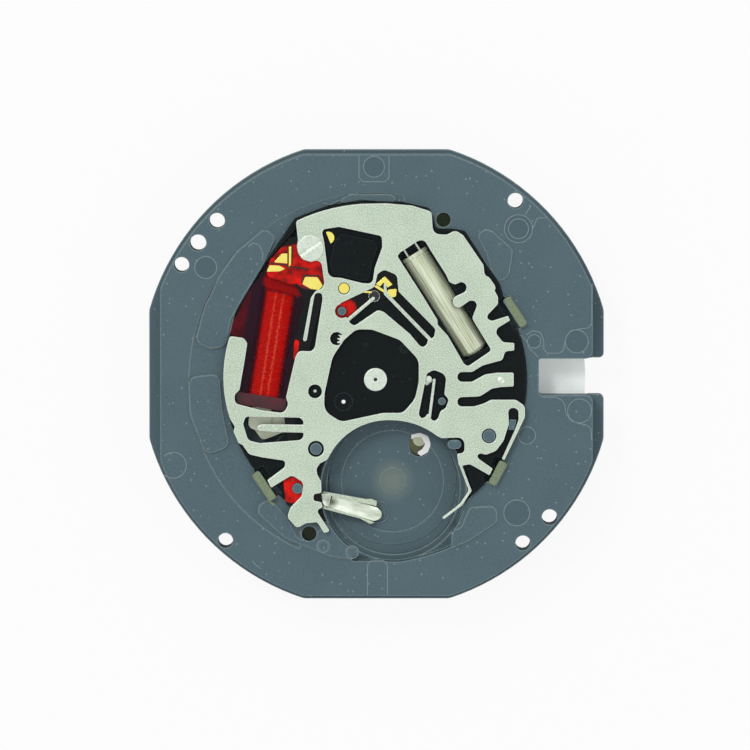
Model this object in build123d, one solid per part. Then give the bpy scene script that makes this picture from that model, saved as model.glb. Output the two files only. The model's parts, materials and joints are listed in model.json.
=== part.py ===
from build123d import *
import os
from math import acos, atan2, cos, degrees, floor, hypot, radians, sin, sqrt, tan

os.makedirs("parts", exist_ok=True)

# A quartz watch movement with a date disc, in millimetres.
# The origin is on the axis of the hands, in the plane where the dial rests.
# +Z points away from the dial, to the battery side. +X points along the stem, outwards.

# Driving sizes in plan
PLATE_R = 15.8  # rim of the main plate
CELL_R = 4.75  # the button cell that the well is made for
CELL_T = 2.05

# Driving sizes in height, from the dial outwards
DIAL_GAP = 0.05  # the calendar stands this far back from the dial
GUARD_T = 0.12
DISC_GAP = 0.05  # above and below the date disc
DISC_T = 0.20
DATE_WORKS_H = 0.35  # room for the date wheels, above the date disc's track
DEEP_WORKS_H = 0.35  # more room, for the minute wheel and the setting works
WEB_T = 0.35  # floor of the main plate between the dial side and the train
TRAIN_H = 1.25  # room for the train, under its bridge
BRIDGE_T = 0.30
BOARD_T = 0.08
COVER_GAP = 0.06
COVER_T = 0.15

# Clearances
RUN = 0.02  # radial, of a pivot in its hole
GAP = 0.05  # between pieces that are assembled side by side
FREE = 0.10  # around and above moving wheels
OVERRUN = 0.5  # how far a cut runs out of the solid
SMALL_CORNER = 0.24  # a corner rounded by less is made a chamfer

# The photograph's scale: places are read in its pixels, from the hand axis
HUB_PX = (375.5, 379.7)
PLATE_R_PX = 237
TILT_PX = 2  # low features stand this much too high in the photograph
PX = PLATE_R / PLATE_R_PX

# Levels
GUARD_Z = DIAL_GAP
GUARD_SEAT_Z = GUARD_Z + GUARD_T
DISC_Z = GUARD_SEAT_Z + DISC_GAP
TRACK_Z = DISC_Z + DISC_T + DISC_GAP
WORKS_Z = TRACK_Z + DATE_WORKS_H
DEEP_Z = WORKS_Z + DEEP_WORKS_H
FLOOR_Z = DEEP_Z + WEB_T
BRIDGE_Z = FLOOR_Z + TRAIN_H
BOARD_Z = BRIDGE_Z + BRIDGE_T
COVER_Z = BOARD_Z + BOARD_T + COVER_GAP
TOP_Z = COVER_Z + COVER_T


def at(point):
    """A place in the photograph, as x and y in millimetres from the hand axis."""
    return ((point[0] - HUB_PX[0]) * PX, (HUB_PX[1] - point[1]) * PX)


def low(point):
    """The same for a feature near the dial side, corrected for the camera's tilt."""
    x, y = at(point)
    return (x, y - TILT_PX * PX)


def polar(radius, angle):
    return (radius * cos(radians(angle)), radius * sin(radians(angle)))


def add(a, b):
    return (a[0] + b[0], a[1] + b[1])


def apart(a, b):
    return hypot(b[0] - a[0], b[1] - a[1])


def bearing(a, b):
    return degrees(atan2(b[1] - a[1], b[0] - a[0]))


def outline_edges(corners):
    """Lines and arcs through a closed row of (x, y, r).

    r is the corner's radius, and a small corner is cut straight. None marks a point that an
    arc passes through, from the corner before it to the corner after it, and both are sharp.
    """
    count = len(corners)
    cuts = []
    for i, (x, y, r) in enumerate(corners):
        (ax, ay, ar), (bx, by, br) = corners[i - 1], corners[(i + 1) % count]
        if not r or ar is None or br is None:
            cuts.append(((x, y), None, (x, y)))
            continue
        before, after = apart((x, y), (ax, ay)), apart((x, y), (bx, by))
        u = ((ax - x) / before, (ay - y) / before)
        v = ((bx - x) / after, (by - y) / after)
        half = acos(max(-1, min(1, u[0] * v[0] + u[1] * v[1]))) / 2
        reach = min(r / tan(half), 0.48 * before, 0.48 * after)
        radius = reach * tan(half)
        out = radius / sin(half) - radius  # from the corner to the middle of its arc
        size = hypot(u[0] + v[0], u[1] + v[1])
        middle = (x + (u[0] + v[0]) / size * out, y + (u[1] + v[1]) / size * out)
        start, end = (x + u[0] * reach, y + u[1] * reach), (x + v[0] * reach, y + v[1] * reach)
        cuts.append((start, middle, end))
    edges = []
    for i in range(count):
        if corners[i][2] is None:
            continue
        start, middle, end = cuts[i]
        if middle is not None and corners[i][2] < SMALL_CORNER:
            edges.append(Line(start, end))
        elif middle is not None:
            edges.append(ThreePointArc(start, middle, end))
        after = (i + 1) % count
        if corners[after][2] is None:
            target = cuts[(i + 2) % count][0]
            edges.append(ThreePointArc(end, corners[after][:2], target))
        else:
            target = cuts[after][0]
            if apart(end, target) > PX / 1000:
                edges.append(Line(end, target))
    return edges


def face_of(corners):
    return make_face(Wire(outline_edges(corners)))


def shape_px(table, place=at):
    """A face from a table of (pixel x, pixel y, corner radius in pixels)."""
    return face_of([(*place((x, y)), r if r is None else r * PX) for x, y, r in table])


def slab(face, bottom, top):
    return Pos(0, 0, bottom) * extrude(face, top - bottom, dir=(0, 0, 1))


def disc(centre, radius, bottom, top):
    height = top - bottom
    return Pos(centre[0], centre[1], bottom) * Cylinder(
        radius, height, align=(Align.CENTER, Align.CENTER, Align.MIN)
    )


def block(low_corner, high_corner, bottom, top):
    """A box between two corners in plan."""
    return Pos(low_corner[0], low_corner[1], bottom) * Box(
        high_corner[0] - low_corner[0],
        high_corner[1] - low_corner[1],
        top - bottom,
        align=(Align.MIN, Align.MIN, Align.MIN),
    )


def bar(start, end, width, bottom, top, rounded=True):
    """A straight bar between two places in plan, with round or square ends."""
    length = apart(start, end)
    middle = ((start[0] + end[0]) / 2, (start[1] + end[1]) / 2)
    body = Box(length, width, top - bottom, align=(Align.CENTER, Align.CENTER, Align.MIN))
    body = Pos(middle[0], middle[1], bottom) * Rot(0, 0, bearing(start, end)) * body
    if rounded:
        body = body + disc(start, width / 2, bottom, top) + disc(end, width / 2, bottom, top)
    return body


def solids_of(shape):
    return list(shape.solids())


def save(shape, name):
    """Write a node: one solid, or a group of separate ones."""
    solids = solids_of(shape)
    export_step(solids[0] if len(solids) == 1 else Compound(solids), f"parts/{name}.step")


# Gears

ADDENDUM = 1.0  # in modules
DEDENDUM = 1.25
ROOT_SHARE = 0.62  # of a pitch, a tooth's width at its root and at its tip
TIP_SHARE = 0.20


def tip_radius(teeth, module):
    return module * (teeth / 2 + ADDENDUM)


def root_radius(teeth, module):
    return module * (teeth / 2 - DEDENDUM)


def gear_face(teeth, module, phase):
    """A toothed outline round the origin. One tooth's middle stands at the angle phase."""
    pitch = 360 / teeth
    levels = ((root_radius(teeth, module), ROOT_SHARE / 2), (tip_radius(teeth, module), TIP_SHARE / 2))
    points = []
    for tooth in range(teeth):
        middle = phase + tooth * pitch
        for radius, share in levels:
            points.append(polar(radius, middle - share * pitch))
        for radius, share in reversed(levels):
            points.append(polar(radius, middle + share * pitch))
    return make_face(Polyline(*points, close=True))


def gear(centre, teeth, module, phase, bottom, top, bore=0):
    wheel = Pos(centre[0], centre[1], 0) * slab(gear_face(teeth, module, phase), bottom, top)
    if bore:
        wheel = wheel - disc(centre, bore, bottom - OVERRUN, top + OVERRUN)
    return wheel


def meshed_phase(phase, teeth, other_teeth, direction):
    """The phase of a wheel that meshes with another, which lies back along direction."""
    turned = (direction - phase) * teeth / 360
    part = turned - floor(turned)
    return direction + 180 + (part + 0.5) * 360 / other_teeth


def spokes(wheel, centre, hub_r, rim_r, count, width, bottom, top, angle=0):
    """Open windows between the spokes of a wheel."""
    ring = disc(centre, rim_r, bottom - OVERRUN, top + OVERRUN)
    ring = ring - disc(centre, hub_r, bottom - 2 * OVERRUN, top + 2 * OVERRUN)
    for i in range(count):
        end = add(centre, polar(rim_r + width, angle + 360 * i / count))
        ring = ring - bar(centre, end, width, bottom - 2 * OVERRUN, top + 2 * OVERRUN, rounded=False)
    return wheel - ring


# Where the wheels stand
HUB = (0.0, 0.0)
ROTOR = at((315, 391.4))
FIFTH = at((343.5, 402))
THIRD = at((366, 345))

ROTOR_TEETH = 8
FIFTH_TEETH = 40
FIFTH_PINION_TEETH = 8
FOURTH_TEETH = 48
FOURTH_PINION_TEETH = 6
THIRD_TEETH = 45
THIRD_PINION_TEETH = 6
CENTRE_TEETH = 48


def module_for(a, b, teeth_a, teeth_b):
    return 2 * apart(a, b) / (teeth_a + teeth_b)


FIFTH_M = module_for(ROTOR, FIFTH, ROTOR_TEETH, FIFTH_TEETH)
FOURTH_M = module_for(FIFTH, HUB, FIFTH_PINION_TEETH, FOURTH_TEETH)
THIRD_M = module_for(HUB, THIRD, FOURTH_PINION_TEETH, THIRD_TEETH)
CENTRE_M = module_for(THIRD, HUB, THIRD_PINION_TEETH, CENTRE_TEETH)

# Arbors, tubes and wheels of the train
PIVOT_R = 0.10
ARBOR_R = 0.20
TUBE_R = 0.26
CANNON_R = 0.45
WHEEL_T = 0.15
CENTRE_WHEEL_Z = FLOOR_Z + FREE
FIFTH_WHEEL_Z = FLOOR_Z + 0.42 * TRAIN_H
THIRD_WHEEL_Z = FLOOR_Z + 0.62 * TRAIN_H
FOURTH_WHEEL_Z = FLOOR_Z + 0.80 * TRAIN_H
PIVOT_END = 0.18  # how far a pivot goes into its hole

# Heights of the hand posts, from the dial plane, and the seats that the hands are pushed on
SECONDS_POST = 2.0
MINUTE_POST = 1.6
HOUR_POST = 1.1
SECONDS_SEAT_R = 0.09
MINUTE_SEAT_R = 0.42
HOUR_SEAT_R = 0.75
MINUTE_SHOULDER_R = 0.58  # the minute hand's pipe stops against it, and the hour pipe runs on it
HOUR_SHOULDER_R = 0.92
SHOULDER_H = 0.60  # of the collar on the seconds arbor, and of the cannon pinion's shoulder

# Motion work on the dial side
MINUTE_C = 2.30  # from the hand axis to the minute wheel
MINUTE_ANGLE = 20
CANNON_TEETH = 12
MINUTE_TEETH = 36
MINUTE_PINION_TEETH = 10
HOUR_TEETH = 40
MINUTE_M = 2 * MINUTE_C / (CANNON_TEETH + MINUTE_TEETH)
HOUR_M = 2 * MINUTE_C / (MINUTE_PINION_TEETH + HOUR_TEETH)
MINUTE = polar(MINUTE_C, MINUTE_ANGLE)
MINUTE_STUD_R = 0.16
HOUR_WHEEL_Z = GUARD_SEAT_Z + GAP
MINUTE_WHEEL_Z = WORKS_Z + GAP

STEM_RISE = 0.30
# Setting wheel, between the minute wheel and the clutch, on the stem's axis
STEM_Z = DEEP_Z + STEM_RISE
SETTING_TEETH = 16
SETTING_C = MINUTE_M * (MINUTE_TEETH + SETTING_TEETH) / 2
SETTING = (MINUTE[0] + sqrt(SETTING_C**2 - MINUTE[1] ** 2), 0.0)

# Date train: the hour wheel's second row of teeth, an idler and the driving wheel
DATE_M = 0.12
DATE_PINION_TEETH = 16
DATE_IDLER_TEETH = 36
DATE_WHEEL_TEETH = 32
DATE_ANGLE = 172
DATE_IDLER = polar(DATE_M * (DATE_PINION_TEETH + DATE_IDLER_TEETH) / 2, DATE_ANGLE)
DATE_WHEEL = add(DATE_IDLER, polar(DATE_M * (DATE_IDLER_TEETH + DATE_WHEEL_TEETH) / 2, DATE_ANGLE))
DATE_WHEEL_Z = TRACK_Z + GAP
DATE_WHEEL_T = 0.16
DATE_STUD_R = 0.30

# Date disc
RIM_W = 1.75  # of the ring outside the date disc
DISC_W = 3.30  # of the disc's printed ring
DISC_TOOTH_H = 0.55
DISC_TEETH = 31
DISC_R = PLATE_R - RIM_W
DISC_BODY_R = DISC_R - DISC_W  # inside radius, at the roots of its teeth
DISC_TIP_R = DISC_BODY_R - DISC_TOOTH_H
GUARD_LAP = 0.20  # the guard plate lies this far over the disc's ring
GUARD_R = DISC_BODY_R + GUARD_LAP

# Phases, so that every pair stands in mesh
FIFTH_PHASE = meshed_phase(0, ROTOR_TEETH, FIFTH_TEETH, bearing(ROTOR, FIFTH))
FOURTH_PHASE = meshed_phase(0, FIFTH_PINION_TEETH, FOURTH_TEETH, bearing(FIFTH, HUB))
THIRD_PHASE = meshed_phase(0, FOURTH_PINION_TEETH, THIRD_TEETH, bearing(HUB, THIRD))
CENTRE_PHASE = meshed_phase(0, THIRD_PINION_TEETH, CENTRE_TEETH, bearing(THIRD, HUB))
MINUTE_PHASE = meshed_phase(0, CANNON_TEETH, MINUTE_TEETH, MINUTE_ANGLE)
HOUR_PHASE = meshed_phase(0, MINUTE_PINION_TEETH, HOUR_TEETH, MINUTE_ANGLE + 180)
SETTING_PHASE = meshed_phase(MINUTE_PHASE, MINUTE_TEETH, SETTING_TEETH, bearing(MINUTE, SETTING))
IDLER_PHASE = meshed_phase(0, DATE_PINION_TEETH, DATE_IDLER_TEETH, DATE_ANGLE)
DATE_PHASE = meshed_phase(IDLER_PHASE, DATE_IDLER_TEETH, DATE_WHEEL_TEETH, DATE_ANGLE)

# Setting works
CLUTCH_R = 0.62
CLUTCH_GROOVE_R = 0.38
CLUTCH_X = 6.10  # its inner face, with the crown pushed in
CLUTCH_LENGTH = 1.80
CLUTCH_SHIFT = 0.55
GROOVE_X = CLUTCH_X + CLUTCH_LENGTH / 2
GROOVE_W = 0.36
SQUARE = 0.50  # of the stem, which the clutch slides on
STEM_R = 0.45
PILOT_R = 0.25
LEVER_T = 0.18
LEVER_PIVOT = (8.90, 1.00)
LEVER_NOSE = (9.35, -0.05)
LEVER_TAIL = (8.15, 1.60)
YOKE_PIVOT = (7.00, 3.90)
STUD_R = 0.25
LEVER_Z = GUARD_SEAT_Z + GAP
YOKE_Z = STEM_Z - (CLUTCH_R + CLUTCH_GROOVE_R) / 2 - LEVER_T / 2
RESET_PIVOT = at((442, 401.5))
RESET_PIN = at((428.6, 379))
RESET_Z = FOURTH_WHEEL_Z
CORRECTOR_R = 1.05
CORRECTOR_ANGLE = -24
CORRECTOR = polar(DISC_TIP_R - CORRECTOR_R - 3 * FREE, CORRECTOR_ANGLE)
CORRECTOR_TEETH = 5

# The well and the cell
CELL = at((393.5, 490.3))
WELL_R = CELL_R + FREE
WELL_WALL = 0.10
WELL_Z = TOP_Z - CELL_T - GAP


# Moving pieces of the train


def arbor(centre, low_end, high_end, runs):
    """A turned arbor: pivots at both ends, and thicker runs of (radius, bottom, top) between."""
    body = disc(centre, PIVOT_R, low_end, high_end)
    for radius, bottom, top in runs:
        body = body + disc(centre, radius, bottom, top)
    return body


WEB_PIVOT = FLOOR_Z - PIVOT_END
BRIDGE_PIVOT = BRIDGE_Z + PIVOT_END
PINION_OVER = 0.06  # a pinion is longer than the wheel that it drives, at each end

MAGNET_R = 0.55
MAGNET_T = 0.34
STATOR_GAP = 0.09
STATOR_T = 0.28
STATOR_Z = FLOOR_Z
MAGNET_Z = STATOR_Z + GAP
ROTOR_BORE = MAGNET_R + STATOR_GAP

rotor_magnet = disc(ROTOR, MAGNET_R, MAGNET_Z, MAGNET_Z + MAGNET_T)
rotor_magnet = rotor_magnet - disc(ROTOR, ARBOR_R, FLOOR_Z, BRIDGE_Z)
rotor_arbor = arbor(ROTOR, WEB_PIVOT, BRIDGE_PIVOT, [(ARBOR_R, MAGNET_Z - GAP / 2, BRIDGE_Z - FREE)])
rotor_arbor = rotor_arbor + gear(
    ROTOR,
    ROTOR_TEETH,
    FIFTH_M,
    0,
    FIFTH_WHEEL_Z - PINION_OVER,
    FIFTH_WHEEL_Z + WHEEL_T + PINION_OVER,
)

fifth_wheel = gear(
    FIFTH, FIFTH_TEETH, FIFTH_M, FIFTH_PHASE, FIFTH_WHEEL_Z, FIFTH_WHEEL_Z + WHEEL_T, ARBOR_R
)
fifth_wheel = spokes(
    fifth_wheel,
    FIFTH,
    2.2 * ARBOR_R,
    0.78 * root_radius(FIFTH_TEETH, FIFTH_M),
    4,
    ARBOR_R,
    FIFTH_WHEEL_Z,
    FIFTH_WHEEL_Z + WHEEL_T,
)
fifth_arbor = arbor(FIFTH, WEB_PIVOT, BRIDGE_PIVOT, [(ARBOR_R, FLOOR_Z + GAP, BRIDGE_Z - FREE)])
fifth_arbor = fifth_arbor + gear(
    FIFTH,
    FIFTH_PINION_TEETH,
    FOURTH_M,
    0,
    FOURTH_WHEEL_Z - PINION_OVER,
    FOURTH_WHEEL_Z + WHEEL_T + PINION_OVER / 2,
)

fourth_wheel = gear(
    HUB, FOURTH_TEETH, FOURTH_M, FOURTH_PHASE, FOURTH_WHEEL_Z, FOURTH_WHEEL_Z + WHEEL_T, ARBOR_R
)
fourth_wheel = spokes(
    fourth_wheel,
    HUB,
    2.6 * ARBOR_R,
    0.80 * root_radius(FOURTH_TEETH, FOURTH_M),
    5,
    ARBOR_R,
    FOURTH_WHEEL_Z,
    FOURTH_WHEEL_Z + WHEEL_T,
)
fourth_arbor = arbor(
    HUB, -MINUTE_POST, BRIDGE_PIVOT, [(ARBOR_R, FOURTH_WHEEL_Z - GAP / 2, BRIDGE_Z - FREE)]
)
fourth_arbor = fourth_arbor + disc(HUB, SECONDS_SEAT_R, -SECONDS_POST, -MINUTE_POST)
fourth_arbor = fourth_arbor + disc(HUB, TUBE_R, -MINUTE_POST, SHOULDER_H - MINUTE_POST)
fourth_arbor = fourth_arbor + gear(
    HUB,
    FOURTH_PINION_TEETH,
    THIRD_M,
    0,
    THIRD_WHEEL_Z - PINION_OVER,
    THIRD_WHEEL_Z + WHEEL_T + PINION_OVER / 2,
)

third_wheel = gear(
    THIRD, THIRD_TEETH, THIRD_M, THIRD_PHASE, THIRD_WHEEL_Z, THIRD_WHEEL_Z + WHEEL_T, ARBOR_R
)
third_wheel = spokes(
    third_wheel,
    THIRD,
    2.6 * ARBOR_R,
    0.80 * root_radius(THIRD_TEETH, THIRD_M),
    5,
    ARBOR_R,
    THIRD_WHEEL_Z,
    THIRD_WHEEL_Z + WHEEL_T,
)
THIRD_PINION_TOP = CENTRE_WHEEL_Z + WHEEL_T + PINION_OVER
third_arbor = arbor(THIRD, WEB_PIVOT, BRIDGE_PIVOT, [(ARBOR_R, THIRD_PINION_TOP, BRIDGE_Z - FREE)])
third_arbor = third_arbor + gear(
    THIRD,
    THIRD_PINION_TEETH,
    CENTRE_M,
    0,
    CENTRE_WHEEL_Z - PINION_OVER / 2,
    THIRD_PINION_TOP,
)

centre_wheel = gear(
    HUB, CENTRE_TEETH, CENTRE_M, CENTRE_PHASE, CENTRE_WHEEL_Z, CENTRE_WHEEL_Z + WHEEL_T, CANNON_R
)
centre_wheel = spokes(
    centre_wheel,
    HUB,
    1.7 * CANNON_R,
    0.80 * root_radius(CENTRE_TEETH, CENTRE_M),
    4,
    ARBOR_R,
    CENTRE_WHEEL_Z,
    CENTRE_WHEEL_Z + WHEEL_T,
    45,
)
CANNON_TOP = CENTRE_WHEEL_Z + WHEEL_T + GAP / 2
cannon_pinion = disc(HUB, CANNON_R, -HOUR_POST, CANNON_TOP)
cannon_pinion = cannon_pinion + disc(HUB, MINUTE_SEAT_R, -MINUTE_POST, -HOUR_POST)
cannon_pinion = cannon_pinion + disc(HUB, MINUTE_SHOULDER_R, -HOUR_POST, SHOULDER_H - HOUR_POST)
cannon_pinion = cannon_pinion + gear(
    HUB, CANNON_TEETH, MINUTE_M, 0, WORKS_Z, MINUTE_WHEEL_Z + WHEEL_T + GAP / 2
)
cannon_pinion = cannon_pinion - disc(HUB, TUBE_R + RUN, -MINUTE_POST - OVERRUN, CANNON_TOP + OVERRUN)

# The fixed tube that the cannon pinion turns on, in its own small bridge
CENTRE_BRIDGE_Z = CANNON_TOP + GAP
CENTRE_BRIDGE_TOP = FIFTH_WHEEL_Z - GAP
CENTRE_FOOT_R = 3.45  # from the hand axis
CENTRE_FOOT_ANGLE = 33
CENTRE_FEET = [polar(CENTRE_FOOT_R, CENTRE_FOOT_ANGLE), polar(CENTRE_FOOT_R, -CENTRE_FOOT_ANGLE)]
FOOT_R = 0.45
centre_tube = disc(HUB, TUBE_R, SHOULDER_H - MINUTE_POST + GAP, CENTRE_BRIDGE_TOP)
centre_tube = centre_tube - disc(HUB, PIVOT_R + RUN, -MINUTE_POST - OVERRUN, BRIDGE_Z)
centre_bridge = disc(HUB, 2.1 * TUBE_R, CENTRE_BRIDGE_Z, CENTRE_BRIDGE_TOP)
for foot in CENTRE_FEET:
    centre_bridge = centre_bridge + bar(HUB, foot, 2 * FOOT_R, CENTRE_BRIDGE_Z, CENTRE_BRIDGE_TOP)
    centre_bridge = centre_bridge + disc(foot, FOOT_R, FLOOR_Z, CENTRE_BRIDGE_TOP)
centre_bridge = centre_bridge - disc(HUB, TUBE_R, FLOOR_Z, BRIDGE_Z)

# Motion work
minute_wheel = gear(
    MINUTE, MINUTE_TEETH, MINUTE_M, MINUTE_PHASE, MINUTE_WHEEL_Z, MINUTE_WHEEL_Z + WHEEL_T
)
minute_wheel = minute_wheel + gear(
    MINUTE, MINUTE_PINION_TEETH, HOUR_M, MINUTE_ANGLE + 180, HOUR_WHEEL_Z, MINUTE_WHEEL_Z
)
minute_wheel = minute_wheel - disc(MINUTE, MINUTE_STUD_R + RUN, 0, DEEP_Z)

HOUR_WHEEL_T = 0.18
hour_wheel = gear(HUB, HOUR_TEETH, HOUR_M, HOUR_PHASE, HOUR_WHEEL_Z, HOUR_WHEEL_Z + HOUR_WHEEL_T)
hour_wheel = hour_wheel + gear(
    HUB,
    DATE_PINION_TEETH,
    DATE_M,
    0,
    HOUR_WHEEL_Z + HOUR_WHEEL_T,
    DATE_WHEEL_Z + DATE_WHEEL_T + GAP / 2,
)
hour_wheel = hour_wheel + disc(HUB, HOUR_SHOULDER_R, 0, HOUR_WHEEL_Z + GAP)
hour_wheel = hour_wheel + disc(HUB, HOUR_SEAT_R, -HOUR_POST, 0)
hour_wheel = hour_wheel - disc(HUB, MINUTE_SHOULDER_R + RUN, -HOUR_POST - OVERRUN, DEEP_Z)

SETTING_STUD_R = 0.25
setting_wheel = gear(
    SETTING,
    SETTING_TEETH,
    MINUTE_M,
    SETTING_PHASE,
    MINUTE_WHEEL_Z,
    MINUTE_WHEEL_Z + WHEEL_T,
    SETTING_STUD_R + RUN,
)

# Date works
date_idler = gear(
    DATE_IDLER,
    DATE_IDLER_TEETH,
    DATE_M,
    IDLER_PHASE,
    DATE_WHEEL_Z,
    DATE_WHEEL_Z + DATE_WHEEL_T,
    DATE_STUD_R + RUN,
)
date_driving_wheel = gear(
    DATE_WHEEL,
    DATE_WHEEL_TEETH,
    DATE_M,
    DATE_PHASE,
    DATE_WHEEL_Z,
    DATE_WHEEL_Z + DATE_WHEEL_T,
    DATE_STUD_R + RUN,
)
FINGER_W = 0.34
FINGER_TIP_R = (DISC_TIP_R + DISC_BODY_R) / 2
FINGER_LENGTH = FINGER_TIP_R - apart(HUB, DATE_WHEEL)
FINGER_HUB_R = 2 * DATE_STUD_R
finger_end = add(DATE_WHEEL, polar(FINGER_LENGTH - FINGER_W / 2, DATE_ANGLE + 180))
date_finger = bar(DATE_WHEEL, finger_end, FINGER_W, DISC_Z, DISC_Z + DISC_T)
date_finger = date_finger + disc(DATE_WHEEL, FINGER_HUB_R, DISC_Z, DATE_WHEEL_Z)
date_finger = date_finger - disc(DATE_WHEEL, DATE_STUD_R + RUN, 0, DEEP_Z)

JUMPER_POST_IN = 2.0  # inside the teeth of the date disc
JUMPER_POST_C = DISC_TIP_R - JUMPER_POST_IN
JUMPER_POST_ANGLE = 230
JUMPER_POST = polar(JUMPER_POST_C, JUMPER_POST_ANGLE)
JUMPER_NOSE_ANGLE = 262
JUMPER_W = 0.26
JUMPER_POST_R = 0.35
DISC_PITCH = 360 / DISC_TEETH


def disc_outline():
    """The inside of the date disc: teeth that point to the hand axis."""
    points = []
    for tooth in range(DISC_TEETH):
        middle = JUMPER_NOSE_ANGLE + (tooth + 0.5) * DISC_PITCH
        points.append(polar(DISC_BODY_R, middle - 0.30 * DISC_PITCH))
        points.append(polar(DISC_TIP_R, middle - 0.08 * DISC_PITCH))
        points.append(polar(DISC_TIP_R, middle + 0.08 * DISC_PITCH))
        points.append(polar(DISC_BODY_R, middle + 0.30 * DISC_PITCH))
    return make_face(Polyline(*points, close=True))


date_disc = disc(HUB, DISC_R, DISC_Z, DISC_Z + DISC_T) - slab(
    disc_outline(), DISC_Z - OVERRUN, TRACK_Z + OVERRUN
)

# The jumper's nose stands in the gap between two teeth of the disc
NOSE_R = DISC_BODY_R - GAP
NOSE_ROUND = 0.04
NOSE_BASE_R = DISC_TIP_R - 3.5 * FREE
nose_base = polar(NOSE_BASE_R, JUMPER_NOSE_ANGLE)
knee = polar(NOSE_BASE_R - 2 * FREE, (JUMPER_POST_ANGLE + JUMPER_NOSE_ANGLE) / 2)
date_jumper = disc(JUMPER_POST, 2 * JUMPER_POST_R, DISC_Z, DISC_Z + DISC_T)
date_jumper = date_jumper + bar(JUMPER_POST, knee, JUMPER_W, DISC_Z, DISC_Z + DISC_T)
date_jumper = date_jumper + bar(knee, nose_base, JUMPER_W, DISC_Z, DISC_Z + DISC_T)
nose = face_of(
    [
        (*polar(NOSE_BASE_R, JUMPER_NOSE_ANGLE - 0.30 * DISC_PITCH), 0),
        (*polar(NOSE_R, JUMPER_NOSE_ANGLE), NOSE_ROUND),
        (*polar(NOSE_BASE_R, JUMPER_NOSE_ANGLE + 0.30 * DISC_PITCH), 0),
    ]
)
date_jumper = date_jumper + slab(nose, DISC_Z, DISC_Z + DISC_T)
date_jumper = date_jumper - disc(JUMPER_POST, JUMPER_POST_R, 0, DEEP_Z)


# Setting works


def along_x(profile, centre_z):
    """Turn a profile of (x, radius) pairs round the stem's axis."""
    face = make_face(Polyline(*profile, close=True))
    return Pos(0, 0, centre_z) * revolve(face, Axis.X)


CLUTCH_END = CLUTCH_X + CLUTCH_LENGTH
CROWN_TOOTH = 0.14  # height of the teeth on the clutch's faces
CROWN_TEETH = 8
clutch_wheel = along_x(
    [
        (CLUTCH_X, 0),
        (CLUTCH_X, CLUTCH_R),
        (GROOVE_X, CLUTCH_R),
        (GROOVE_X, CLUTCH_GROOVE_R),
        (GROOVE_X + GROOVE_W, CLUTCH_GROOVE_R),
        (GROOVE_X + GROOVE_W, CLUTCH_R),
        (CLUTCH_END, CLUTCH_R),
        (CLUTCH_END, 0),
    ],
    STEM_Z,
)
clutch_wheel = clutch_wheel - Pos(CLUTCH_X + CLUTCH_LENGTH / 2, 0, STEM_Z) * Box(
    2 * CLUTCH_LENGTH, SQUARE, SQUARE
)
for tooth in range(CROWN_TEETH):
    gullet = Pos(0, 0, (CLUTCH_R + SQUARE) / 2) * Box(2 * CROWN_TOOTH, CROWN_TOOTH, CLUTCH_R)
    gullet = Rot(360 * (tooth + 0.5) / CROWN_TEETH, 0, 0) * gullet
    clutch_wheel = clutch_wheel - Pos(CLUTCH_X, 0, STEM_Z) * gullet
    clutch_wheel = clutch_wheel - Pos(CLUTCH_END, 0, STEM_Z) * gullet

LEVER_PIN_R = 0.13
LEVER_W = 0.55
setting_lever = bar(LEVER_PIVOT, LEVER_NOSE, LEVER_W, LEVER_Z, LEVER_Z + LEVER_T)
setting_lever = setting_lever + bar(LEVER_PIVOT, LEVER_TAIL, LEVER_W, LEVER_Z, LEVER_Z + LEVER_T)
setting_lever = setting_lever + disc(LEVER_PIVOT, LEVER_W * 0.9, LEVER_Z, LEVER_Z + LEVER_T)
setting_lever = setting_lever + disc(LEVER_NOSE, LEVER_PIN_R, LEVER_Z, STEM_Z - STEM_R + 2 * FREE)
setting_lever = setting_lever + disc(LEVER_TAIL, LEVER_PIN_R, LEVER_Z, YOKE_Z + LEVER_T)
setting_lever = setting_lever - disc(LEVER_PIVOT, STUD_R + RUN, 0, DEEP_Z)

YOKE_W = 0.50
FORK_W = GROOVE_W / 2
fork_root = (GROOVE_X + GROOVE_W / 2, CLUTCH_R + YOKE_W / 2)
fork_tip = (GROOVE_X + GROOVE_W / 2, -CLUTCH_R)
yoke_elbow = (LEVER_TAIL[0] - LEVER_PIN_R - YOKE_W / 2 - GAP, LEVER_TAIL[1])
yoke = bar(YOKE_PIVOT, yoke_elbow, YOKE_W, YOKE_Z, YOKE_Z + LEVER_T)
yoke = yoke + bar(yoke_elbow, fork_root, 0.7 * YOKE_W, YOKE_Z, YOKE_Z + LEVER_T)
yoke = yoke + bar(fork_root, fork_tip, FORK_W, YOKE_Z, YOKE_Z + LEVER_T)
yoke = yoke + disc(YOKE_PIVOT, YOKE_W, YOKE_Z, YOKE_Z + LEVER_T)
yoke = yoke - disc(YOKE_PIVOT, STUD_R + RUN, 0, DEEP_Z)

RESET_W = 0.40
RESET_PIN_R = 0.21
RESET_HUB_R = 0.42
BRAKE_REACH = 0.42  # from the seconds wheel's teeth, with the crown pushed in
BRAKE_ANGLE = 7
BRAKE_R = tip_radius(FOURTH_TEETH, FOURTH_M) + BRAKE_REACH
brake_tip = polar(BRAKE_R + RESET_W / 4, BRAKE_ANGLE)
RESET_ELBOW_STEP = (0.10, -0.60)  # from the pin
RESET_LINK_STEP = (1.90, 0.75)  # from the pivot
reset_elbow = add(RESET_PIN, RESET_ELBOW_STEP)
reset_link = add(RESET_PIVOT, RESET_LINK_STEP)
reset_lever = bar(RESET_PIVOT, reset_elbow, RESET_W, RESET_Z, RESET_Z + WHEEL_T)
reset_lever = reset_lever + bar(reset_elbow, brake_tip, RESET_W / 2, RESET_Z, RESET_Z + WHEEL_T)
reset_lever = reset_lever + bar(RESET_PIVOT, RESET_PIN, RESET_W, RESET_Z, RESET_Z + WHEEL_T)
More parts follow.
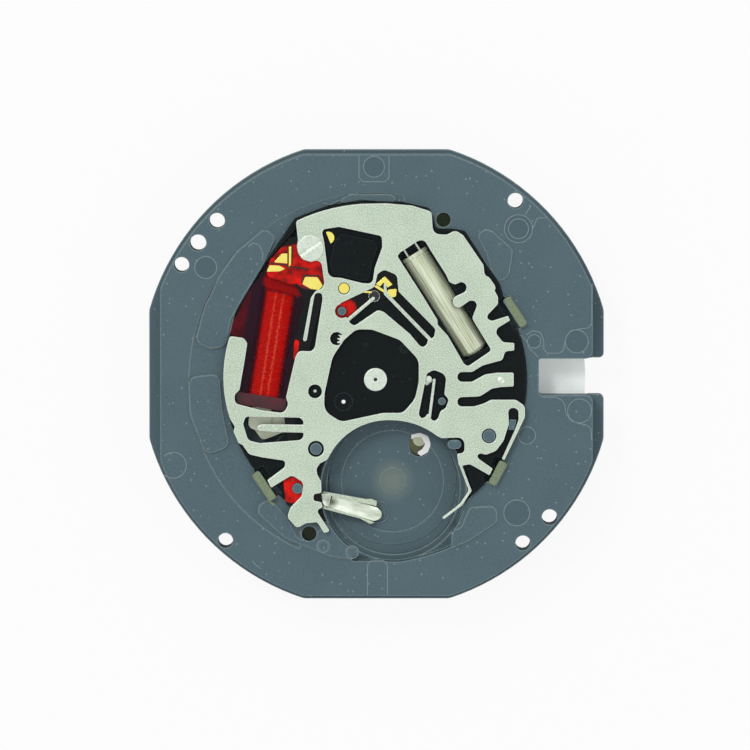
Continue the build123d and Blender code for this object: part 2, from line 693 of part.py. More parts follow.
reset_lever = reset_lever + bar(RESET_PIVOT, reset_link, RESET_W, RESET_Z, RESET_Z + WHEEL_T)
reset_lever = reset_lever + disc(RESET_PIVOT, RESET_HUB_R, RESET_Z, RESET_Z + WHEEL_T)
reset_lever = reset_lever - disc(RESET_PIVOT, STUD_R + RUN, FLOOR_Z, BRIDGE_Z)
reset_pin = disc(RESET_PIN, RESET_PIN_R, RESET_Z + WHEEL_T, COVER_Z - GAP)

CORRECTOR_Z = DISC_Z
corrector_wheel = disc(CORRECTOR, 0.55 * CORRECTOR_R, CORRECTOR_Z, WORKS_Z)
for tooth in range(CORRECTOR_TEETH):
    tip = add(CORRECTOR, polar(CORRECTOR_R - FINGER_W / 2, 20 + 360 * tooth / CORRECTOR_TEETH))
    corrector_wheel = corrector_wheel + bar(CORRECTOR, tip, FINGER_W, CORRECTOR_Z, CORRECTOR_Z + DISC_T)
corrector_wheel = corrector_wheel - disc(CORRECTOR, STUD_R + RUN, 0, DEEP_Z)

# Motor

COIL_TOP = at((281.5, 283))
COIL_BOTTOM = at((262, 407))
COIL_ANGLE = bearing(COIL_BOTTOM, COIL_TOP)
COIL_LENGTH = apart(COIL_BOTTOM, COIL_TOP)
COIL_W = 2.90
COIL_H = 1.44
COIL_CORNER = 0.60
CORE_W = 0.80
CORE_T = 0.30
CORE_Z = STATOR_Z + STATOR_T
CORE_END = 1.60  # each end of the core, past the winding
CORE_END_W = 1.50
FLANGE_T = 0.25
SLEEVE = 0.15
COIL_Z = CORE_Z + CORE_T / 2
FLANGE_HALF_H = COIL_H / 2 + RUN  # the bobbin stands on its flanges
COIL_FLOOR_Z = COIL_Z - FLANGE_HALF_H


def on_coil(shape, distance=0):
    """Place a shape made along X on the coil's axis, at a distance from its lower end."""
    x, y = add(COIL_BOTTOM, polar(distance, COIL_ANGLE))
    return Pos(x, y, COIL_Z) * Rot(0, 0, COIL_ANGLE) * shape


def coil_run(width, height, start, end, corner=0):
    """A bar along the coil's axis, of rectangular or rounded section."""
    section = RectangleRounded(width, height, corner) if corner else Rectangle(width, height)
    return on_coil(extrude(Plane.YZ * section, end - start), start)


coil_core = coil_run(CORE_W, CORE_T, -CORE_END, COIL_LENGTH + CORE_END)
for end in (-CORE_END / 2 - GAP, COIL_LENGTH + CORE_END / 2 + GAP):
    pad = Pos(0, 0, -CORE_T / 2) * extrude(RectangleRounded(CORE_END, CORE_END_W, 0.3 * CORE_END_W), CORE_T)
    coil_core = coil_core + on_coil(pad, end)
coil_bobbin = coil_run(CORE_W + 2 * SLEEVE, CORE_T + 2 * SLEEVE, 0, COIL_LENGTH)
for start in (0, COIL_LENGTH - FLANGE_T):
    coil_bobbin = coil_bobbin + coil_run(
        COIL_W + FREE, 2 * FLANGE_HALF_H, start, start + FLANGE_T, COIL_CORNER / 2
    )
coil_bobbin = coil_bobbin - coil_run(CORE_W, CORE_T, -CORE_END, COIL_LENGTH + CORE_END)
coil_winding = coil_run(COIL_W, COIL_H, FLANGE_T, COIL_LENGTH - FLANGE_T, COIL_CORNER)
coil_winding = coil_winding - coil_run(
    CORE_W + 2 * SLEEVE, CORE_T + 2 * SLEEVE, -CORE_END, COIL_LENGTH + CORE_END
)

STATOR_RING = 0.35  # round the rotor
STATOR_PX = [
    (246, 420, 4), (262, 442, 5), (288, 432, 6), (322, 410, 6), (331, 395, 5), (327, 376, 6),
    (318, 330, 10), (319, 285, 10), (308, 241, 6), (291, 241, 5), (272, 261, 4), (272, 273, 3),
    (297, 275, 4), (310, 292, 6), (309, 330, 10), (305, 372, 8), (300, 398, 6), (286, 416, 6),
    (264, 420, 6),
]
stator = slab(shape_px(STATOR_PX), STATOR_Z, STATOR_Z + STATOR_T)
stator = stator + disc(ROTOR, ROTOR_BORE + STATOR_RING, STATOR_Z, STATOR_Z + STATOR_T)
stator = stator - disc(ROTOR, ROTOR_BORE, FLOOR_Z, BRIDGE_Z)

# Quartz crystal
CAN_TOP = at((416, 257))
CAN_FOOT = at((476.5, 353))
CAN_R = 0.92
CAN_Z = BOARD_Z + BOARD_T - CAN_R
CAN_ANGLE = bearing(CAN_FOOT, CAN_TOP)
CAN_LENGTH = apart(CAN_FOOT, CAN_TOP)
CAN_RIM = 0.04  # how far its rim stands out
CAN_RIM_R = CAN_R + CAN_RIM
CAN_RIM_T = 0.25
LEAD_R = 0.14
LEAD_LENGTH = 0.60


def on_can(shape, distance=0):
    x, y = add(CAN_FOOT, polar(distance, CAN_ANGLE))
    return Pos(x, y, CAN_Z) * Rot(0, 0, CAN_ANGLE) * Rot(0, 90, 0) * shape


def can_run(radius, start, end):
    body = Cylinder(radius, end - start, align=(Align.CENTER, Align.CENTER, Align.MIN))
    return on_can(body, start)


def can_opening():
    """Everything over the can and its leads, from the axis of the can up."""
    start = add(CAN_FOOT, polar(-GAP, CAN_ANGLE))
    end = add(CAN_FOOT, polar(CAN_LENGTH + CAN_RIM_T + LEAD_LENGTH + GAP, CAN_ANGLE))
    return bar(start, end, 2 * (CAN_RIM_R + GAP), CAN_Z, TOP_Z, rounded=False)


can_profile = face_of([(0, 0, 0), (0, CAN_R, CAN_R / 4), (CAN_LENGTH, CAN_R, 0), (CAN_LENGTH, 0, 0)])
quartz_can = Pos(*CAN_FOOT, CAN_Z) * Rot(0, 0, CAN_ANGLE) * revolve(can_profile, Axis.X)
quartz_base = can_run(CAN_RIM_R, CAN_LENGTH, CAN_LENGTH + CAN_RIM_T)
quartz_leads = [
    on_can(
        Pos(0, side * CAN_R / 2, 0)
        * Cylinder(LEAD_R, LEAD_LENGTH, align=(Align.CENTER, Align.CENTER, Align.MIN)),
        CAN_LENGTH + CAN_RIM_T,
    )
    for side in (-1, 1)
]

# Main plate

FLANGE_H = 1.15  # the lower step of the rim
RIM_H = 2.80  # the upper step
PAD_T = 0.12
RIM_CENTRE_PX = (376.5, 376)
FLAT_X_PX = 228
FLAT_Y_PX = 225.5
UPPER_R_PX = 233
UPPER_FLAT_X_PX = 216.3
UPPER_FLAT_Y_PX = 221
POCKET_R_PX = 151.5
WELL_ARC_PX = 184.5
RIM_CENTRE = at(RIM_CENTRE_PX)
TRACK_R = DISC_R + FREE
TRACK_INNER_R = DISC_TIP_R - 1.5 * FREE
NOTCH_X = 10.90
NOTCH_W = 2.45
NOTCH_RISE = 0.15
WELL_STEP = 0.12


def rim(radius_px, flat_x_px, flat_y_px, bottom, top):
    """A round slab with flats on its four sides."""
    body = disc(RIM_CENTRE, radius_px * PX, bottom, top)
    half_x, half_y = flat_x_px * PX, flat_y_px * PX
    low_corner = (RIM_CENTRE[0] - half_x, RIM_CENTRE[1] - half_y)
    return body & block(low_corner, (low_corner[0] + 2 * half_x, low_corner[1] + 2 * half_y), bottom, top)


FOOT_HOLES_PX = [
    (217, 221, 7.8), (198, 243, 8.2), (181.5, 265, 7.6), (515.5, 201, 7.8), (225.2, 541.5, 7.5),
    (523.3, 544, 7.5), (550, 518, 7.8),
]
POCKET_TOP_PX = [
    (226, 352, 2), (235, 312, 40), (262, 267, 30), (295, 218.5, 3), (330, 205, 40), (362, 201, 10),
    (402, 202, 20), (430, 208.5, 5), (436, 229, 6), (452, 229, 6), (465, 231, 5), (488, 267, 8),
    (500, 284, 5), (506, 306, 2), (375, 380, 0),
]
COIL_ROOM_PX = [
    (303, 222, 3), (262, 268, 20), (229, 335, 10), (236, 392, 10), (243, 440, 8), (270, 452, 6),
    (292, 420, 6), (300, 355, 4), (322, 295, 4), (322, 250, 6),
]
HOOKS_PX = [((506, 298), (524, 326)), ((504, 462), (492, 485)), ((255, 473), (273, 500))]
HOOK_W_PX = 8.5
HOOK_ROOM_PX = 5.5  # on the inner side of a hook, for the cover's tab
PADS_PX = [
    [
        (264.6, 229, 3), (250.8, 240.4, 20), (236.9, 251.9, 20), (219.6, 276.2, 25),
        (205, 306, 25), (195.4, 342, 8), (210, 349, 8), (225.7, 346.8, 8), (230, 320, 20),
        (246, 291, 30), (262.3, 266.9, 30), (275.6, 237, 6),
    ],
    [
        (188.5, 378, 8), (190, 415, 30), (205.5, 455.5, 8), (229, 447, 8), (222, 410, 30),
        (219.3, 374.5, 8),
    ],
    [(340, 200, 3), (350, 194.5, 6), (393, 194.5, 6), (397, 203.5, 2), (360, 199.5, 3), (342, 203.5, 3)],
    [
        (477, 235, 5), (485, 229.5, 5), (492, 231.5, 6), (513, 250, 8), (509, 275, 8),
        (500, 283, 6), (492, 272, 6), (487, 254, 10),
    ],
    [
        (443, 546, 3), (446, 533, 6), (461, 529, 8), (470, 508, 8), (497, 507, 8), (497, 523, 6),
        (470, 541, 10), (449, 550, 3),
    ],
    [
        (258, 514, 5), (259, 506, 4), (270, 499.5, 6), (288, 520, 8), (300, 545.5, 9), (320, 531, 4),
        (333, 524, 3), (342, 537, 10), (364, 552, 4), (364, 562, 4), (330, 557, 20), (285, 539, 20),
    ],
]
BLIND_HOLES_PX = [(443.5, 220, 7.2), (309, 534.5, 7.4)]
POSTS_PX = [(315.9, 449, 6), (489, 436, 6.3), (297.3, 488.7, 5.2), (342, 311, 4.2)]
RECESS_R_PX = 186.6  # the ring is a little lower inside this circle, on the left and at the top
RECESS_T = 0.06
RECESS_SIDE_PX = [(160, 160, 0), (404, 160, 0), (404, 260, 0), (300, 380, 0), (300, 600, 0), (160, 600, 0)]
POST_FOOT_R = 0.55
PEG_PX = ((452.2, 444.5), (456.8, 444.5))
PEG_W_PX = 9
FLOOR_HOLE_PX = (420, 446)
FLOOR_HOLE_R = 0.70
CELL_BOSS_PX = (392.8, 482.4)
CELL_BOSS_R = 0.85
CELL_BOSS_T = 0.04

main_plate = rim(PLATE_R_PX, FLAT_X_PX, FLAT_Y_PX, 0, FLANGE_H)
main_plate = main_plate + rim(UPPER_R_PX, UPPER_FLAT_X_PX, UPPER_FLAT_Y_PX, FLANGE_H, RIM_H)
recess = disc(HUB, RECESS_R_PX * PX, RIM_H - RECESS_T, RIM_H + OVERRUN)
recess = recess & slab(shape_px(RECESS_SIDE_PX), RIM_H - RECESS_T, RIM_H + OVERRUN)
main_plate = main_plate - recess
for pad in PADS_PX:
    main_plate = main_plate + slab(shape_px(pad), RIM_H - RECESS_T, RIM_H + PAD_T)

# Battery side: the room for the train, the coil's room and the cell's well
well_keep = disc(CELL, WELL_R + WELL_WALL, FLOOR_Z - OVERRUN, TOP_Z + OVERRUN)
pocket = disc(HUB, POCKET_R_PX * PX, FLOOR_Z, TOP_Z + OVERRUN)
pocket = pocket + slab(shape_px(POCKET_TOP_PX), FLOOR_Z, TOP_Z + OVERRUN)
main_plate = main_plate - (pocket - well_keep)
main_plate = main_plate - slab(shape_px(COIL_ROOM_PX), COIL_FLOOR_Z, TOP_Z + OVERRUN)
main_plate = main_plate - disc(CELL, WELL_R, WELL_Z, TOP_Z + OVERRUN)
below_cell = disc(HUB, WELL_ARC_PX * PX, WELL_Z + WELL_STEP, TOP_Z + OVERRUN) & block(
    at((352, 562)), at((452, 508)), WELL_Z, TOP_Z + 2 * OVERRUN
)
main_plate = main_plate - below_cell
main_plate = main_plate - (
    disc(CELL, 0.92 * WELL_R, WELL_Z - WELL_STEP / 2, TOP_Z)
    - disc(CELL, 0.90 * WELL_R, WELL_Z - WELL_STEP, TOP_Z + OVERRUN)
)
can_room = can_run(CAN_RIM_R + GAP, -GAP, CAN_LENGTH + CAN_RIM_T + LEAD_LENGTH + GAP)
main_plate = main_plate - can_room

# Dial side: the date disc's track and the rooms for the wheels
track = disc(HUB, TRACK_R, -OVERRUN, TRACK_Z) - disc(HUB, TRACK_INNER_R, -2 * OVERRUN, TRACK_Z + OVERRUN)
main_plate = main_plate - track
main_plate = main_plate - disc(HUB, GUARD_R + GAP, -OVERRUN, GUARD_SEAT_Z)
HOUR_TIP_R = tip_radius(HOUR_TEETH, HOUR_M)
IDLER_TIP_R = tip_radius(DATE_IDLER_TEETH, DATE_M)
DATE_TIP_R = tip_radius(DATE_WHEEL_TEETH, DATE_M)
MINUTE_TIP_R = tip_radius(MINUTE_TEETH, MINUTE_M)
SETTING_TIP_R = tip_radius(SETTING_TEETH, MINUTE_M)
for centre, radius, top in (
    (HUB, HOUR_TIP_R, WORKS_Z),
    (DATE_IDLER, IDLER_TIP_R, WORKS_Z),
    (DATE_WHEEL, DATE_TIP_R, WORKS_Z),
    (DATE_WHEEL, FINGER_LENGTH, TRACK_Z),
    (CORRECTOR, CORRECTOR_R, DEEP_Z),
    (HUB, 2 * CANNON_R, DEEP_Z),
    (MINUTE, MINUTE_TIP_R, DEEP_Z),
    (SETTING, SETTING_TIP_R, DEEP_Z),
    (JUMPER_POST, 2 * JUMPER_POST_R, TRACK_Z),
):
    main_plate = main_plate - disc(centre, radius + FREE, -OVERRUN, top)
for start, end in ((JUMPER_POST, knee), (knee, nose_base)):
    main_plate = main_plate - bar(start, end, 3 * JUMPER_W, -OVERRUN, TRACK_Z)
WORKS_ROOM = ((5.70, -1.20), (9.85, 4.55))
main_plate = main_plate - block(*WORKS_ROOM, -OVERRUN, DEEP_Z)

# Studs that the dial-side wheels and levers turn on
for centre, radius, root in (
    (MINUTE, MINUTE_STUD_R, DEEP_Z),
    (SETTING, SETTING_STUD_R, DEEP_Z),
    (DATE_IDLER, DATE_STUD_R, WORKS_Z),
    (DATE_WHEEL, DATE_STUD_R, WORKS_Z),
    (JUMPER_POST, JUMPER_POST_R, TRACK_Z),
    (LEVER_PIVOT, STUD_R, DEEP_Z),
    (YOKE_PIVOT, STUD_R, DEEP_Z),
    (CORRECTOR, STUD_R, DEEP_Z),
):
    main_plate = main_plate + disc(centre, radius, GUARD_SEAT_Z, root + GAP)

# Openings through the web
main_plate = main_plate - disc(HUB, CANNON_R + GAP, 0, FLOOR_Z + OVERRUN)
CLUTCH_ROOM_X = 9.75
CLUTCH_ROOM = ((CLUTCH_X - CLUTCH_SHIFT - FREE, -CLUTCH_R - FREE), (CLUTCH_ROOM_X, CLUTCH_R + FREE))
main_plate = main_plate - block(*CLUTCH_ROOM, DEEP_Z - OVERRUN / 2, FLOOR_Z + OVERRUN)
for centre in (ROTOR, FIFTH, THIRD):
    main_plate = main_plate - disc(centre, PIVOT_R + RUN, WEB_PIVOT - GAP, FLOOR_Z + OVERRUN)
main_plate = main_plate + disc(RESET_PIVOT, STUD_R, FLOOR_Z - GAP, COVER_Z)
main_plate = main_plate + disc(RESET_PIVOT, RESET_HUB_R, FLOOR_Z - GAP, RESET_Z - GAP)

# Posts that carry the bridge and locate the cover
for x, y, r in POSTS_PX:
    main_plate = main_plate + disc(at((x, y)), r * PX, FLOOR_Z - GAP, TOP_Z + GAP)
main_plate = main_plate + bar(at(PEG_PX[0]), at(PEG_PX[1]), PEG_W_PX * PX, WELL_Z, TOP_Z + GAP)
LEDGES_PX = [(335, 252), (500, 330), (315.9, 449), (489, 436), (297.3, 488.7)]
ledges = [at(point) for point in LEDGES_PX]
ledges.append((CLUTCH_ROOM_X - POST_FOOT_R, -CLUTCH_R - FREE - POST_FOOT_R))
for place in ledges:
    main_plate = main_plate + disc(place, POST_FOOT_R, FLOOR_Z - GAP, BRIDGE_Z)

# Hooks that snap over the cover's tabs, each at the outer side of its slot


def hook_slot(start, end, clearance, bottom):
    start, end = at(start), at(end)
    middle = ((start[0] + end[0]) / 2, (start[1] + end[1]) / 2)
    inwards = polar(HOOK_ROOM_PX / 2 * PX, bearing(middle, HUB))
    along = polar(clearance, bearing(start, end))
    start = add(start, (inwards[0] - along[0], inwards[1] - along[1]))
    end = add(end, add(inwards, along))
    width = (HOOK_W_PX + HOOK_ROOM_PX) * PX + 2 * clearance
    return bar(start, end, width, bottom, TOP_Z + OVERRUN, rounded=False)


for start, end in HOOKS_PX:
    main_plate = main_plate - hook_slot(start, end, 0, COIL_FLOOR_Z)
    main_plate = main_plate + bar(
        at(start), at(end), HOOK_W_PX * PX, COIL_FLOOR_Z - GAP, COVER_Z - GAP, rounded=False
    )

# The stem's notch, its hole and its pilot bearing
notch_low = (NOTCH_X, NOTCH_RISE - NOTCH_W / 2)
main_plate = main_plate - block(
    notch_low, (PLATE_R + OVERRUN, notch_low[1] + NOTCH_W), -OVERRUN, TOP_Z + OVERRUN
)
STEM_LENGTH = NOTCH_X - CLUTCH_ROOM_X
stem_hole = Pos(NOTCH_X, 0, STEM_Z) * Rot(0, 90, 0) * Cylinder(STEM_R, 3 * STEM_LENGTH)
main_plate = main_plate - stem_hole
for x, y, r in FOOT_HOLES_PX:
    main_plate = main_plate - disc(at((x, y)), r * PX, -OVERRUN, TOP_Z + OVERRUN)
for x, y, r in BLIND_HOLES_PX:
    main_plate = main_plate - disc(at((x, y)), r * PX, FLANGE_H, TOP_Z + OVERRUN)
main_plate = main_plate - disc(low(FLOOR_HOLE_PX), FLOOR_HOLE_R, -OVERRUN, FLOOR_Z)


# Train bridge and the pieces on it

def inset_pocket(inset, bottom, top):
    """The pocket's outline, drawn in by a clearance."""
    shape = disc(HUB, POCKET_R_PX * PX - inset, bottom, top)
    upper = offset(shape_px(POCKET_TOP_PX), -inset, kind=Kind.INTERSECTION)
    return shape + slab(upper, bottom, top)


POST_GAP = 0.03
BEARING_R = 0.767
BEARING_T = 0.12
train_bridge = inset_pocket(GAP, BRIDGE_Z, BOARD_Z)
train_bridge = train_bridge - disc(CELL, WELL_R + WELL_WALL + GAP, BRIDGE_Z - OVERRUN, TOP_Z)
train_bridge = train_bridge - slab(
    offset(shape_px(COIL_ROOM_PX), GAP, kind=Kind.INTERSECTION), BRIDGE_Z - OVERRUN, TOP_Z
)
train_bridge = train_bridge - can_run(
    CAN_RIM_R + GAP, -GAP, CAN_LENGTH + CAN_RIM_T + LEAD_LENGTH + GAP
)
train_bridge = train_bridge - can_opening()
for x, y, r in POSTS_PX:
    train_bridge = train_bridge - disc(at((x, y)), r * PX + POST_GAP, BRIDGE_Z - OVERRUN, TOP_Z)
for start, end in HOOKS_PX:
    train_bridge = train_bridge - hook_slot(start, end, GAP, BRIDGE_Z - OVERRUN)
RESET_TURN = 12
reset_arm = apart(RESET_PIVOT, RESET_PIN)
pin_turned = add(RESET_PIVOT, polar(reset_arm, bearing(RESET_PIVOT, RESET_PIN) + RESET_TURN))
train_bridge = train_bridge - bar(
    RESET_PIN, pin_turned, 2 * (RESET_PIN_R + FREE), BRIDGE_Z - OVERRUN, TOP_Z
)
train_bridge = train_bridge - bar(
    at(PEG_PX[0]), at(PEG_PX[1]), PEG_W_PX * PX + 2 * POST_GAP, BRIDGE_Z - OVERRUN, TOP_Z
)
train_bridge = train_bridge - disc(HUB, BEARING_R, BOARD_Z - BEARING_T / 2, TOP_Z)
train_bridge = train_bridge - disc(HUB, 2 * PIVOT_R, BRIDGE_Z - OVERRUN, TOP_Z)
for centre in (ROTOR, FIFTH, THIRD):
    train_bridge = train_bridge - disc(centre, PIVOT_R + RUN, BRIDGE_Z - OVERRUN, TOP_Z)
train_bridge = train_bridge - disc(RESET_PIVOT, STUD_R + POST_GAP, BRIDGE_Z - OVERRUN, TOP_Z)
train_bridge = train_bridge.solids().sort_by(SortBy.VOLUME)[-1]  # not the sliver past the coil
bearing_cap = disc(HUB, BEARING_R, BOARD_Z - BEARING_T / 2, BOARD_Z + BEARING_T / 2)
bearing_cap = bearing_cap - disc(HUB, PIVOT_R + RUN, BRIDGE_Z, TOP_Z)

BOARD_PX = [
    (290, 238, 3), (322, 230, 4), (402, 233, 4), (404, 262, 6), (398, 296, 5), (378, 300, 4),
    (354, 314, 5), (343, 322, 6), (330, 314, 5), (322, 300, 3), (309, 352, 4), (300, 362, 4),
    (291, 400, 5), (298, 436, 6), (305, 462, 6), (306, 478, 4), (320, 486, 3), (323, 504, 2),
    (314, 513, 3), (286, 506, 6), (283, 480, 5), (290, 464, 6), (284, 416, 4), (293, 366, 4),
    (294, 344, 4), (304, 300, 5), (296, 286, 5), (266, 276, 3), (270, 260, 3),
]
IC_WINDOW_PX = [
    (321.5, 229.5, 2.5), (339, 226.8, 2), (381.8, 236, 4), (382.3, 247, 3), (374.7, 268, 3),
    (372.5, 283.8, 6), (362, 283, 4), (341, 277.8, 3), (328.5, 277, 8), (324.3, 243, 3),
]
circuit_board = slab(shape_px(BOARD_PX), BOARD_Z, BOARD_Z + BOARD_T)
for x, y, r in POSTS_PX:
    circuit_board = circuit_board - disc(at((x, y)), r * PX + POST_GAP, BOARD_Z - OVERRUN, TOP_Z)
circuit_board = circuit_board - disc(THIRD, 2 * PIVOT_R, BOARD_Z - OVERRUN, TOP_Z)
circuit_board = circuit_board - can_opening()
circuit_board = circuit_board - slab(shape_px(IC_WINDOW_PX), BOARD_Z - OVERRUN, TOP_Z)

IC_PX = [
    (334.5, 241, 1), (341, 233.5, 1), (374, 240.5, 4), (378, 247, 4), (372, 264, 3), (369, 281.5, 5),
    (360, 281, 4), (341, 275.8, 3), (332, 275.5, 5), (329.5, 262, 2),
]
PAD_GOLD_T = 0.02
ic_block = slab(shape_px(IC_PX), BOARD_Z, COVER_Z + COVER_T / 3)
IC_TAB_PX = [(326, 232, 0), (333.5, 234.5, None), (330.5, 243.5, 0)]
GOLD_PX = [
    [(279, 249, 2), (289, 253, 1), (286, 264, 1), (272, 262, 1)],
    [(270, 265.5, 1), (283, 267, 1), (279, 273, 2), (267, 273, 2)],
    [(303, 279, 3), (322, 281, 4), (322, 290, 3), (311, 290, 4)],
    [(374, 283, 1), (384, 274.5, 1), (394, 283, 1), (384, 288, 1)],
    [(362, 287, 1), (382, 288, 1), (380, 292, 1), (360, 291, 1)],
]
GOLD_DISCS_PX = [(344, 288.4, 5.3), (392, 293, 4.6)]
board_top = BOARD_Z + BOARD_T
contact_pads = [slab(shape_px(pad), board_top, board_top + PAD_GOLD_T) for pad in GOLD_PX]
contact_pads += [disc(at((x, y)), r * PX, board_top, board_top + PAD_GOLD_T) for x, y, r in GOLD_DISCS_PX]
contact_pads.append(slab(shape_px(IC_TAB_PX), BOARD_Z, board_top))

FILM_PX = [
    (268, 264, 4), (300, 262, 4), (322, 288, 4), (300, 352, 4), (290, 404, 4), (238, 400, 4),
    (246, 342, 4), (229, 334, 2), (234, 320, 6), (250, 290, 10),
]
FILM_T = 0.03
COIL_TOP_Z = COIL_Z + FLANGE_HALF_H
coil_film = slab(shape_px(FILM_PX), COIL_TOP_Z, COIL_TOP_Z + FILM_T)

# Circuit cover

COVER_PX = [
    (296, 221, 0), (329, 209, None), (362, 203.7, 0), (387, 203.3, 2), (412, 205.5, 20), (431.5, 211.5, 5),
    (433, 234, 10), (447, 234.6, 8), (455, 230, 7), (463, 235, 4), (483.5, 265, 6), (484.5, 275.5, 3),
    (489, 277, 3), (496, 287, 3), (494.5, 290.5, 1), (498, 297, 4), (498, 304, 5), (487, 315.5, 4),
    (488.5, 322, 3), (508, 315.8, 0.6), (510, 320.4, 0.6), (497.5, 328, 4), (495.5, 333, 3),
    (503, 342.2, 4), (514.2, 343, 0.6), (514.2, 350.4, 0.6), (505, 351.4, 4), (502.5, 360, 4),
    (483, 365.3, 10), (472, 372, 6), (457.5, 372, 4.8), (457.5, 381.8, 4.8), (472, 381.8, 8),
    (485, 374.5, 10), (497, 372.7, 4), (513.7, 372.7, 0.8), (513.7, 386.4, 0.8), (501, 387, 6),
    (492, 388.6, 6), (480, 396.5, 10), (457.5, 397.3, 4.6), (457.5, 406.5, 4.6), (474, 406.5, 8),
    (484, 403.5, 8), (491, 399.8, 5), (516, 399.8, 8), (525, 406, 7), (525, 417, 8), (517, 434, 12),
    (504.3, 460.5, 0.8), (501.8, 459.3, 0.8), (515, 430, 8), (518.6, 420, 4), (518.6, 408, 5),
    (508, 408, 5), (509, 424, 5), (503.5, 441, 6), (496, 451, 6), (486, 455, 6), (479, 453, 2),
    (477, 457, 1.5), (479.3, 459.4, 1.5), (492.7, 468.8, 0.6), (489.6, 475.5, 0.6), (470, 464.3, 5),
    (459, 466.5, 1), (457, 454, 1), (464.5, 453, 5), (464.5, 437.5, 7), (441.5, 438.3, 2),
    (437, 436, 0), (415.5, 424.4, None), (391, 420.3, 0), (357, 428, None), (331, 453, 0), (327, 460, 3),
    (320, 463.5, 4), (316.3, 469, 3), (317.3, 475, 3), (321, 481.5, 3), (321.4, 493, 1), (313.5, 494.5, 1.5),
    (313.5, 501, 1.5), (321.5, 502.5, 1.5), (322.8, 508, 1.5), (316, 510, 2), (321, 518, 4),
    (329.8, 531.5, 1), (324.2, 533.5, 1), (317.3, 522.5, 2), (306, 523.5, 7), (297, 528.5, 4),
    (287, 517.5, 6), (290.5, 507.5, 5), (301.5, 496.5, 6), (303.5, 483, 3), (291.9, 475.3, 3),
    (271, 488, 0.6), (267.3, 480.3, 0.6), (284.5, 467.5, 4), (285.5, 461, 4), (262, 457.5, 8),
    (249, 454.5, 6), (242.5, 445, 3), (238.5, 443.3, 2), (233.2, 431, 3), (235, 427, 1.5), (230, 419, 0),
    (223.4, 378, None), (229.9, 336, 0), (243.5, 338, 4), (247.3, 343, 4), (244.7, 360, 20),
    (239.5, 390, 2), (234.5, 394.5, 3), (234.8, 403.5, 3), (262, 410.5, 40), (284, 413.2, 3.5),
    (288.3, 404, 3), (286, 397.5, 3), (295.5, 357, 8), (298.5, 351, 3), (312.5, 351.2, 3),
    (315, 346.5, 2), (322.6, 299, 10), (322, 292.8, 4), (315, 292.8, 4), (313.6, 300, 1),
    (306.5, 341.5, 1.2), (302.8, 340.7, 1.2), (311, 297.5, 2), (315.5, 291, 3), (322, 288.6, 3),
    (324.4, 283, 4), (321.5, 262, 3), (316, 260.4, 3), (311, 262, 6), (301, 259, 8), (296.8, 247, 6),
    (298, 240, 8),
]
COVER_WINDOWS_PX = [
    IC_WINDOW_PX,
    [
        (340, 303.2, 4), (374.5, 287, 3), (377.5, 274, 4), (384, 269.5, 5), (397, 275, 6),
        (398.6, 291.5, 2), (435.5, 329, 4), (434, 337.5, 3), (428, 340, 1), (426, 346.7, 3),
        (420.5, 346.7, 3), (410, 334, 3), (384, 312, 6), (378, 309.8, 5), (353.5, 326.5, 2.5),
        (349, 321.5, 2.5), (347.5, 316, 3), (338, 317, 6),
    ],
    [
        (397.3, 256, 1.5), (400, 252.5, 2), (418.5, 240.5, 2), (424.5, 240, 3), (431, 251, 2),
        (446, 274.5, 3), (449.3, 282, 4), (455, 284.6, 4), (461.5, 281.6, 4), (467.5, 285, 3),
        (465.5, 291.5, 3), (453, 297.5, 3), (453, 305, 3), (458.3, 308.6, 3), (470, 300.3, 3),
        (478.5, 301.5, 3), (475.5, 309.5, 2), (472, 318.2, 3), (478.5, 329, 2), (491.3, 350, 2),
        (489, 352, 2), (467.5, 366.6, 2), (463.5, 363, 2), (448, 336, 3), (437.5, 324.5, 2),
        (437.5, 320, 2), (421, 293, 4),
    ],
    [
        (356, 329.3, 12), (372, 329.5, 14), (400, 340, 14), (418.8, 360, 14), (418.8, 382, 20),
        (415, 399, 20), (403, 413, 10), (383, 413, 20), (341, 422, 12), (324, 411, 14),
        (324.6, 393, 20), (332.5, 357, 25), (344, 340, 20),
    ],
    [
        (424.3, 386, 3), (426.8, 373.5, 5), (434, 369.8, 6), (446.6, 375, 8), (444.3, 394.5, 2),
        (449, 399.5, 5), (445.5, 408.5, 5), (440.5, 411, 3), (437.3, 421, 3), (431.4, 420.6, 3),
        (428, 412, 1), (425, 418.6, 3), (418, 417.6, 3),
    ],
    [
        (243, 424, 4), (245.5, 416.6, 4), (303.5, 417.8, 3.4), (303.5, 440, 3.4), (260, 443.3, 6),
        (248, 440.5, 6),
    ],
]
COVER_HOLES_PX = [
    (315, 391.4, 6.9), (336.7, 338.6, 6.6), (315.9, 449, 8), (489, 436, 7.3), (344, 288.4, 6),
    (342, 311, 7),
]
FINGERS_PX = [
    ((346, 321.5), (373.3, 298.4), 3.3), ((431.5, 341), (385.5, 293.5), 3.5), ((385.5, 293.5), (385, 285), 2.6),
    ((428.8, 424), (434.3, 380), 2.6),
]
WIDE_FINGER_PX = [(306, 424.9, 0), (306, 432.9, 0), (280, 432.3, 3), (258.5, 431, 3), (256, 427.6, 3), (260, 424.3, 3)]
FINGER_T = 0.10  # the fingers are pressed thinner than the cover

circuit_cover = slab(shape_px(COVER_PX), COVER_Z, TOP_Z)
for window in COVER_WINDOWS_PX:
    circuit_cover = circuit_cover - slab(shape_px(window), COVER_Z - OVERRUN, TOP_Z + OVERRUN)
for x, y, r in COVER_HOLES_PX:
    circuit_cover = circuit_cover - disc(at((x, y)), r * PX, COVER_Z - OVERRUN, TOP_Z + OVERRUN)
for start, end, width in FINGERS_PX:
    circuit_cover = circuit_cover + bar(at(start), at(end), width * PX, COVER_Z, COVER_Z + FINGER_T)
circuit_cover = circuit_cover + slab(shape_px(WIDE_FINGER_PX), COVER_Z, COVER_Z + FINGER_T)

